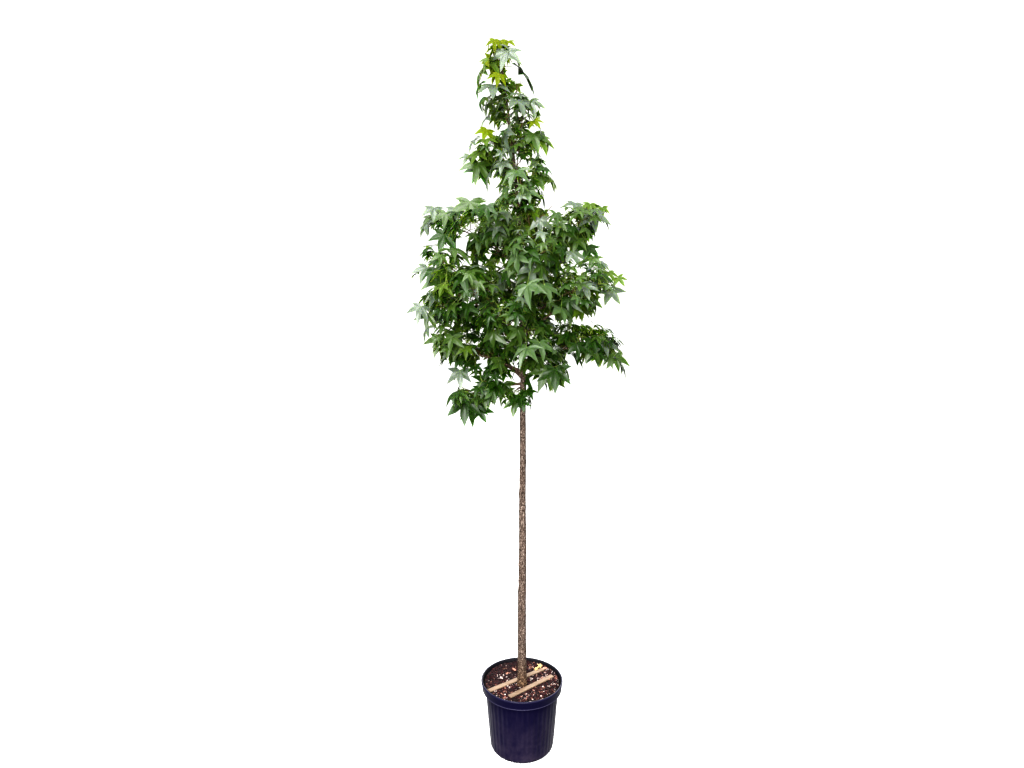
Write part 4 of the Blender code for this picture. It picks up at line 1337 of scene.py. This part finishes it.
class Mass:
    """One leafy stem with its twigs, finer shoots and leaves, grown by a seeded rule."""

    def __init__(self, crown, name, limb, low, seed):
        self.crown, self.name, self.limb, self.low = crown, name, limb, low
        self.rng = random.Random(seed)
        self.twigs, self.leaves = [], []
        crown.claim(name, limb, low)

    def blade(self, frame, length):
        return [frame @ (p * length) for p in self.crown.star], self.crown.star_faces

    def try_leaf(self, limb, share, turn, fresh, spray):
        """Adds the first leaf that fits of several tries at this place."""
        rng, crown = self.rng, self.crown
        axis = limb.along(share)
        for k in range(TRIES):
            out = (axis * rng.uniform(*LEAF_LEAN) + limb.around(share, turn + k * GOLDEN_TURN)).normalized()
            foot = limb.at(share)
            length = rng.uniform(*LEAF_SIZE) * (1 - FRESH_SMALLER * fresh)
            joint = foot + out * rng.uniform(*PETIOLE_LENGTH)
            rise = math.asin(out.z)
            droop = min(max(math.radians(rng.uniform(*DROOP)), LEAST_BEND - rise), MOST_BEND - rise)
            frame = leaf_frame(joint, out, droop, rng.uniform(-ROLL, ROLL))
            middle = frame @ Vector((0, length / 2, 0))
            if not crown.owns(self.name, middle):
                continue
            points, faces = self.blade(frame, length)
            if not in_clearing([middle] + points) and crown.free(points, faces):
                crown.add(points, faces)
                self.leaves.append(Leaf(frame, length, foot, spray, fresh, None))
                return

    def grow_leaves(self, limb, low, tip_leaves, spray):
        """Leaves spaced along a limb, each turned on from the last, and more close behind its tip."""
        step = LEAF_SPACING / limb.length
        last = 1 - 0.002 / limb.length
        crowded = [max(0.0, last - k * TIP_SPACING / limb.length) for k in range(tip_leaves)]
        count = max(0, int((crowded[-1] - low) / step))
        spaced = [crowded[-1] - (k + 1) * step for k in range(count)]
        turn = self.rng.uniform(0, math.tau)
        for k, share in enumerate(crowded + spaced):
            self.try_leaf(limb, share, turn + k * GOLDEN_TURN, max(0.0, 1 - k / FRESH_LEAVES), spray)

    def side_twig(self, limb, share, sign, length, thick):
        """One twig from the side of a limb, lightly arched."""
        rng = self.rng
        along = limb.along(share)
        side = along.cross(UP).normalized() * sign
        angle = math.radians(rng.uniform(*TWIG_ANGLE))
        lift = UP * rng.uniform(*TWIG_LIFT)
        way = (along * math.cos(angle) + side * math.sin(angle) + lift).normalized()
        foot = limb.at(share)
        end = foot + way * length
        middle = foot.lerp(end, 0.5) + UP * length * rng.uniform(*TWIG_ARCH)
        twig = Limb(curve(foot, middle * 2 - foot.lerp(end, 0.5), end, TWIG_POINTS), thick, TWIG_TIP_RADIUS)
        points, faces = twig.sheet(ROOT_CLEAR / twig.length)
        if self.crown.owns(self.name, end) and self.crown.free(points, faces):
            self.crown.add(points, faces)
            self.twigs.append(twig)
            return twig
        return None

    def grow(self):
        """Side twigs to left and right in turn, shorter towards the tip, with finer shoots; then leaves."""
        rng, low = self.rng, self.low
        vigour = min(1.0, LEAST_VIGOUR + self.limb.length / FULL_VIGOUR)
        count = max(1, round(self.limb.length * (1 - low) / TWIG_SPACING))
        grown = []
        for k in range(count):
            share = low + (1 - low) * (k + TWIG_FIRST) / count
            length = TWIG_LENGTH * (1 - TWIG_TAPER * share) * (1 + rng.uniform(-TWIG_SPREAD, TWIG_SPREAD))
            length *= vigour
            twig = self.side_twig(self.limb, share, 1 if k % 2 else -1, length, TWIG_ROOT_RADIUS)
            if twig:
                thick = TWIG_TIP_RADIUS * SHOOT_COLLAR
                shoots = [
                    self.side_twig(twig, at, sign, rng.uniform(*SHOOT_LENGTH) * vigour, thick)
                    for at, sign in zip(SHOOT_SHARES, (1, -1) if k % 2 else (-1, 1))
                ]
                grown.append((twig, [s for s in shoots if s]))
        self.grow_leaves(self.limb, low, STEM_TIP_LEAVES, 0)
        for spray, (twig, shoots) in enumerate(grown):
            self.grow_leaves(twig, TWIG_BARE, TWIG_TIP_LEAVES, spray + 1)
            for shoot in shoots:
                self.grow_leaves(shoot, SHOOT_BARE, SHOOT_TIP_LEAVES, spray + 1)


def placed_frame(joint, tip, face):
    """(frame, length) of a blade from its joint to its tip, with its upper side towards its face."""
    joint, tip = (Vector([part / 1000 for part in place]) for place in (joint, tip))
    along = (tip - joint).normalized()
    normal = (FACES[face] - along * FACES[face].dot(along)).normalized()
    level = math.sqrt(1 - TIP_DROP ** 2)
    midrib, upper = along * level + normal * TIP_DROP, normal * level - along * TIP_DROP
    axes = Matrix((midrib.cross(upper), midrib, upper)).transposed().to_4x4()
    return Matrix.Translation(joint) @ axes, (tip - joint).length


def tree_of(points):
    """A finder of the nearest of these points."""
    finder = KDTree(len(points))
    for i, point in enumerate(points):
        finder.insert(point, i)
    finder.balance()
    return finder


def hang_placed(masses):
    """Each placed leaf on a petiole from the nearest twig, by way of a shoot where that is far off."""
    places = []
    for mass in masses:
        for limb in [mass.limb] + mass.twigs:
            low = mass.low * STEM_HANGER if limb is mass.limb else HANGER_SPAN[0]
            count = max(3, int(limb.length / HANGER_STEP))
            places += [(limb.at(share), mass) for share in even(low, HANGER_SPAN[1], count)]
    finder = tree_of([point for point, _ in places])
    for number, (kind, *placed) in enumerate(PLACED_LEAVES):
        frame, length = placed_frame(*placed)
        joint = frame.translation
        foot, nearest, distance = finder.find(joint + HANGER_LIFT - frame.to_3x3() @ HANGER_BACK)
        mass = places[nearest][1]
        if distance > LONGEST_PETIOLE:
            end = foot.lerp(joint, 1 - LONGEST_PETIOLE * 0.75 / distance) + UP * 0.012
            middle = foot.lerp(end, 0.5) + UP * distance * 0.10
            shoot = curve(foot, middle, end, TWIG_RINGS)
            mass.twigs.append(Limb(shoot, TWIG_ROOT_RADIUS, TWIG_TIP_RADIUS))
            foot = end
        mass.leaves.append(Leaf(frame, length, foot, -number, 0.0, kind))


def grow_crown(limbs):
    """Every mass, grown in turn in the space that the limbs leave."""
    crown = Crown()
    for _, *placed in PLACED_LEAVES:
        frame, length = placed_frame(*placed)
        crown.add([frame @ (p * length) for p in crown.star], crown.star_faces)
    run = [Vector(ring[:3]) for ring in TRUNK]
    points, faces = Limb(run, TRUNK[0].radius, TRUNK[-1].radius).sheet(0.0)
    crown.add(points, faces)
    masses = []
    for bough in BOUGHS:
        limb = limbs[bough.name]
        crown.add(*limb.sheet(0.12))
        masses.append(Mass(crown, bough.name, limb, bough.bare, bough.seed))
    masses.append(Mass(crown, "leader_tip", limbs["leader_tip"], 0.0, LEADER_SEED))
    crown.settle()
    for mass in masses:
        mass.grow()
    hang_placed(masses)
    return masses


masses = grow_crown(limbs)

# ---- twigs, petioles and leaves as pieces ----


def green_stem(name, base, pale):
    """A young shoot's skin: smooth, thin, a little waxy, turning from brown to green."""
    made, tree, shader = material(name, Roughness=0.55, IOR=1.45)
    streaks = grain(tree, coordinates(tree), 120, 2)
    surface(tree, shader, ramp(tree, streaks, (0.35, base), (0.65, pale)))
    return made


def petiole_run(leaf):
    """The points and radii of a petiole, from the twig to just inside its blade."""
    thick, thin = PETIOLE_RADIUS
    joint = leaf.frame.translation
    bend = leaf.foot.lerp(joint, 0.5) + UP * (joint - leaf.foot).length * PETIOLE_ARCH
    end = joint + (leaf.frame.to_3x3() @ Vector((0, 1, 0))) * PETIOLE_OVERLAP
    return [(leaf.foot, thick * 1.3), (bend, thin), (end, thin * 1.1)]


twig_shares = even(0.0, 1.0, TWIG_RINGS)
twig_runs = [
    [(twig.at(share), twig.radius(share) * (1 if share else TWIG_COLLAR)) for share in twig_shares]
    for mass in masses
    for twig in mass.twigs
]
foliage_nodes = [name for name in frame["nodes"] if name.startswith("foliage_")]
twigs = piece("twigs", tubes(twig_runs, 1), green_stem("twig_skin", "4A3A24", "6E5C34"), sharp=80)
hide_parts(*foliage_nodes)

petiole_runs = [petiole_run(leaf) for mass in masses for leaf in mass.leaves]
petioles = piece("petioles", tubes(petiole_runs, 0), green_stem("petiole_skin", "6E8A38", "90A050"), sharp=80)

UNDER_ROUGH = 0.65
UNDER_SHINE = 0.30
SAME_KIND = 0.4  # how often a leaf has its spray's colour and not one of its own
# Painted shade and light: deeper greens are dealt low down where the crown's shade falls, paler sheen greens
# and brighter light-through greens up the spire, and its tip is young
SHADE_TOP, SHADE_SPAN = 2.10, 0.40
SPIRE_FOOT = 2.30
YOUNG_FOOT, YOUNG_SPAN = 2.80, 0.20
LeafKind = namedtuple("LeafKind", "name upper under rough shine")
# Besides the leaves' own greens, deep stands for painted shade, cool and sage for painted sheen of the sky,
# and bright partly for painted light shining through
LEAF_KINDS = {
    "deep": LeafKind("leaves_deep", "233E09", "344D0F", 0.43, 0.42),
    "mid": LeafKind("leaves_mid", "3B521B", "475E1A", 0.41, 0.52),
    "cool": LeafKind("leaves_cool", "566350", "616E50", 0.39, 0.62),
    "sage": LeafKind("leaves_sage", "445A32", "526339", 0.41, 0.54),
    "bright": LeafKind("leaves_bright", "475D12", "566A1E", 0.47, 0.34),
    "young": LeafKind("leaves_young", "5E6A06", "6A7609", 0.52, 0.10),
}


def leaf_skin(name, colour, rough, shine):
    """A living leaf: thin, a little waxy above, matt below, and it lets some light through."""
    return material(
        name,
        Base_Color=colour,
        Roughness=rough,
        IOR=1.50,
        Specular_IOR_Level=shine,
        Subsurface_Weight=0.35,
        Subsurface_Radius=(0.6, 1.0, 0.12),
        Subsurface_Scale=0.0016,
    )[0]


def kind_of(leaf, rng):
    """Picks a leaf's colour by its height, with painted shade low down and painted sheen and light up the
    spire, and brighter where it is fresh.
    """
    height = leaf.frame.translation.z
    young = max(0.0, (height - YOUNG_FOOT) / YOUNG_SPAN)
    shaded = min(1.0, max(0.0, (SHADE_TOP - height) / SHADE_SPAN))
    spire = max(0.0, height - SPIRE_FOOT)
    # Painted shade puts more deep greens low down; painted sheen and light put more cool and bright greens up
    # the spire
    weights = {
        "deep": 0.34 + 0.26 * shaded - 0.28 * spire,
        "mid": 0.34 - 0.04 * shaded,
        "sage": 0.10 - 0.02 * shaded,
        "cool": 0.14 + 0.50 * spire - 0.07 * shaded,
        "bright": 0.03 + 0.03 * leaf.fresh + 0.45 * spire,
        "young": young,
    }
    return rng.choices(list(weights), list(weights.values()))[0]


shape_rng = random.Random(5)
shapes = [leaf_shape(shape_rng) for _ in range(TEMPLATES)]
kind_rng = random.Random(9)
dealt = defaultdict(list)
for mass in masses:
    spray_kinds = {}
    for leaf in mass.leaves:
        if leaf.spray not in spray_kinds:
            spray_kinds[leaf.spray] = kind_of(leaf, kind_rng)
        kind = spray_kinds[leaf.spray] if kind_rng.random() < SAME_KIND else kind_of(leaf, kind_rng)
        matrix = leaf.frame @ Matrix.Scale(leaf.length, 4)
        dealt[leaf.kind or kind].append((shape_rng.randrange(TEMPLATES), matrix))
for key, places in dealt.items():
    kind = LEAF_KINDS[key]
    mesh = scattered([shape[:2] for shape in shapes], places)
    sides = np.concatenate([shapes[k][2] for k, _ in places]).astype(np.int32)
    top = leaf_skin(kind.name + "_upper", kind.upper, kind.rough, kind.shine)
    under = leaf_skin(kind.name + "_under", kind.under, UNDER_ROUGH, UNDER_SHINE)
    leaves = piece(kind.name, mesh, top, under, sharp=45)
    leaves.data.polygons.foreach_set("material_index", sides)
    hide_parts(*foliage_nodes)

# A small dry leaf has dropped on the mix behind the laths, and lies in three curled parts: where each part
# is, its turn and its tilt in degrees, and its length
FALLEN = (
    ((0.062, 0.078, 0.0075), 30, 34, 0.021),
    ((0.075, 0.090, 0.0090), 78, -38, 0.020),
    ((0.088, 0.103, 0.0075), 150, 28, 0.020),
)
places = [
    (k * 3, Matrix.Translation((x, y, MIX_TOP + lift)) @ lying(turn - 90, tilt) @ Matrix.Scale(length, 4))
    for k, ((x, y, lift), turn, tilt, length) in enumerate(FALLEN)
]
dry = material("leaf_dry_yellow", Base_Color="DCBC80", Roughness=0.6, IOR=1.45)[0]
fallen = piece("leaf_fallen", scattered([shape[:2] for shape in shapes], places), dry, sharp=45)

# ---- floor, light and camera ----

STUDIO = bpy.context.scene
FLOOR_RADIUS = 14
FLOOR_DROP = 0.0005
# Square soft lights: where each is, what it faces, its side and its watts
LIGHTS = {
    "sky_light": ((-1.6, -4.4, 8.2), (0, 0, 1.6), 5.0, 700),
    "front_light": ((-0.5, -5.1, 2.0), (0, 0, 1.2), 2.5, 380),
    "back_light": ((1.4, 5.0, 3.6), (0, 0, 1.8), 3.0, 300),
}
LENS = 20.29
SENSOR = 36
EYE = (-0.0433, -2.45, 1.710)
EYE_TILT = 87  # degrees up from straight down

floor_bm = bmesh.new()
bmesh.ops.create_circle(floor_bm, cap_ends=True, segments=96, radius=FLOOR_RADIUS)
floor = linked("studio_floor", floor_bm)
matt_white = material(
    "matt_white_floor", Base_Color="F4F4F4", Roughness=0.9, Emission_Color="FFFFFF", Emission_Strength=0.5
)[0]
floor.data.materials.append(matt_white)
floor.location.z = -FLOOR_DROP
floor.visible_diffuse = False
floor.visible_glossy = False

world = bpy.data.worlds.new("studio")
STUDIO.world = world
world.use_nodes = True
tree = world.node_tree
tree.nodes.clear()
direction = add(tree, "TexCoord").outputs["Generated"]
height = add(tree, "SeparateXYZ", {"Vector": direction}).outputs["Z"]
dome = ramp(tree, mapped(tree, height, (-1.0, 1.0)), (0.44, "4A4A4A"), (0.54, "868686"), (1.0, "FFFFFF"))
lighting = add(tree, "Background", {"Color": dome, "Strength": 1.0})
seen = add(tree, "Background", {"Color": (1, 1, 1, 1), "Strength": 1.0})
camera_ray = add(tree, "LightPath").outputs["Is Camera Ray"]
mixed_light = add(tree, "MixShader", {0: camera_ray, 1: lighting.outputs[0], 2: seen.outputs[0]})
add(tree, "OutputWorld", {"Surface": mixed_light.outputs[0]})

for name, (place, aim, size, watts) in LIGHTS.items():
    data = bpy.data.lights.new(name, "AREA")
    data.shape = "SQUARE"
    data.size = size
    data.energy = watts
    light = bpy.data.objects.new(name, data)
    light.location = place
    light.rotation_euler = (Vector(place) - Vector(aim)).to_track_quat("Z", "Y").to_euler()
    light.visible_camera = False
    STUDIO.collection.objects.link(light)

camera_data = bpy.data.cameras.new("camera")
camera_data.lens = LENS
camera_data.sensor_width = SENSOR
camera = bpy.data.objects.new("camera", camera_data)
camera.location = EYE
camera.rotation_euler = (math.radians(EYE_TILT), 0, 0)
STUDIO.collection.objects.link(camera)
STUDIO.camera = camera
STUDIO.view_settings.view_transform = "Standard"
STUDIO.view_settings.look = "High Contrast"
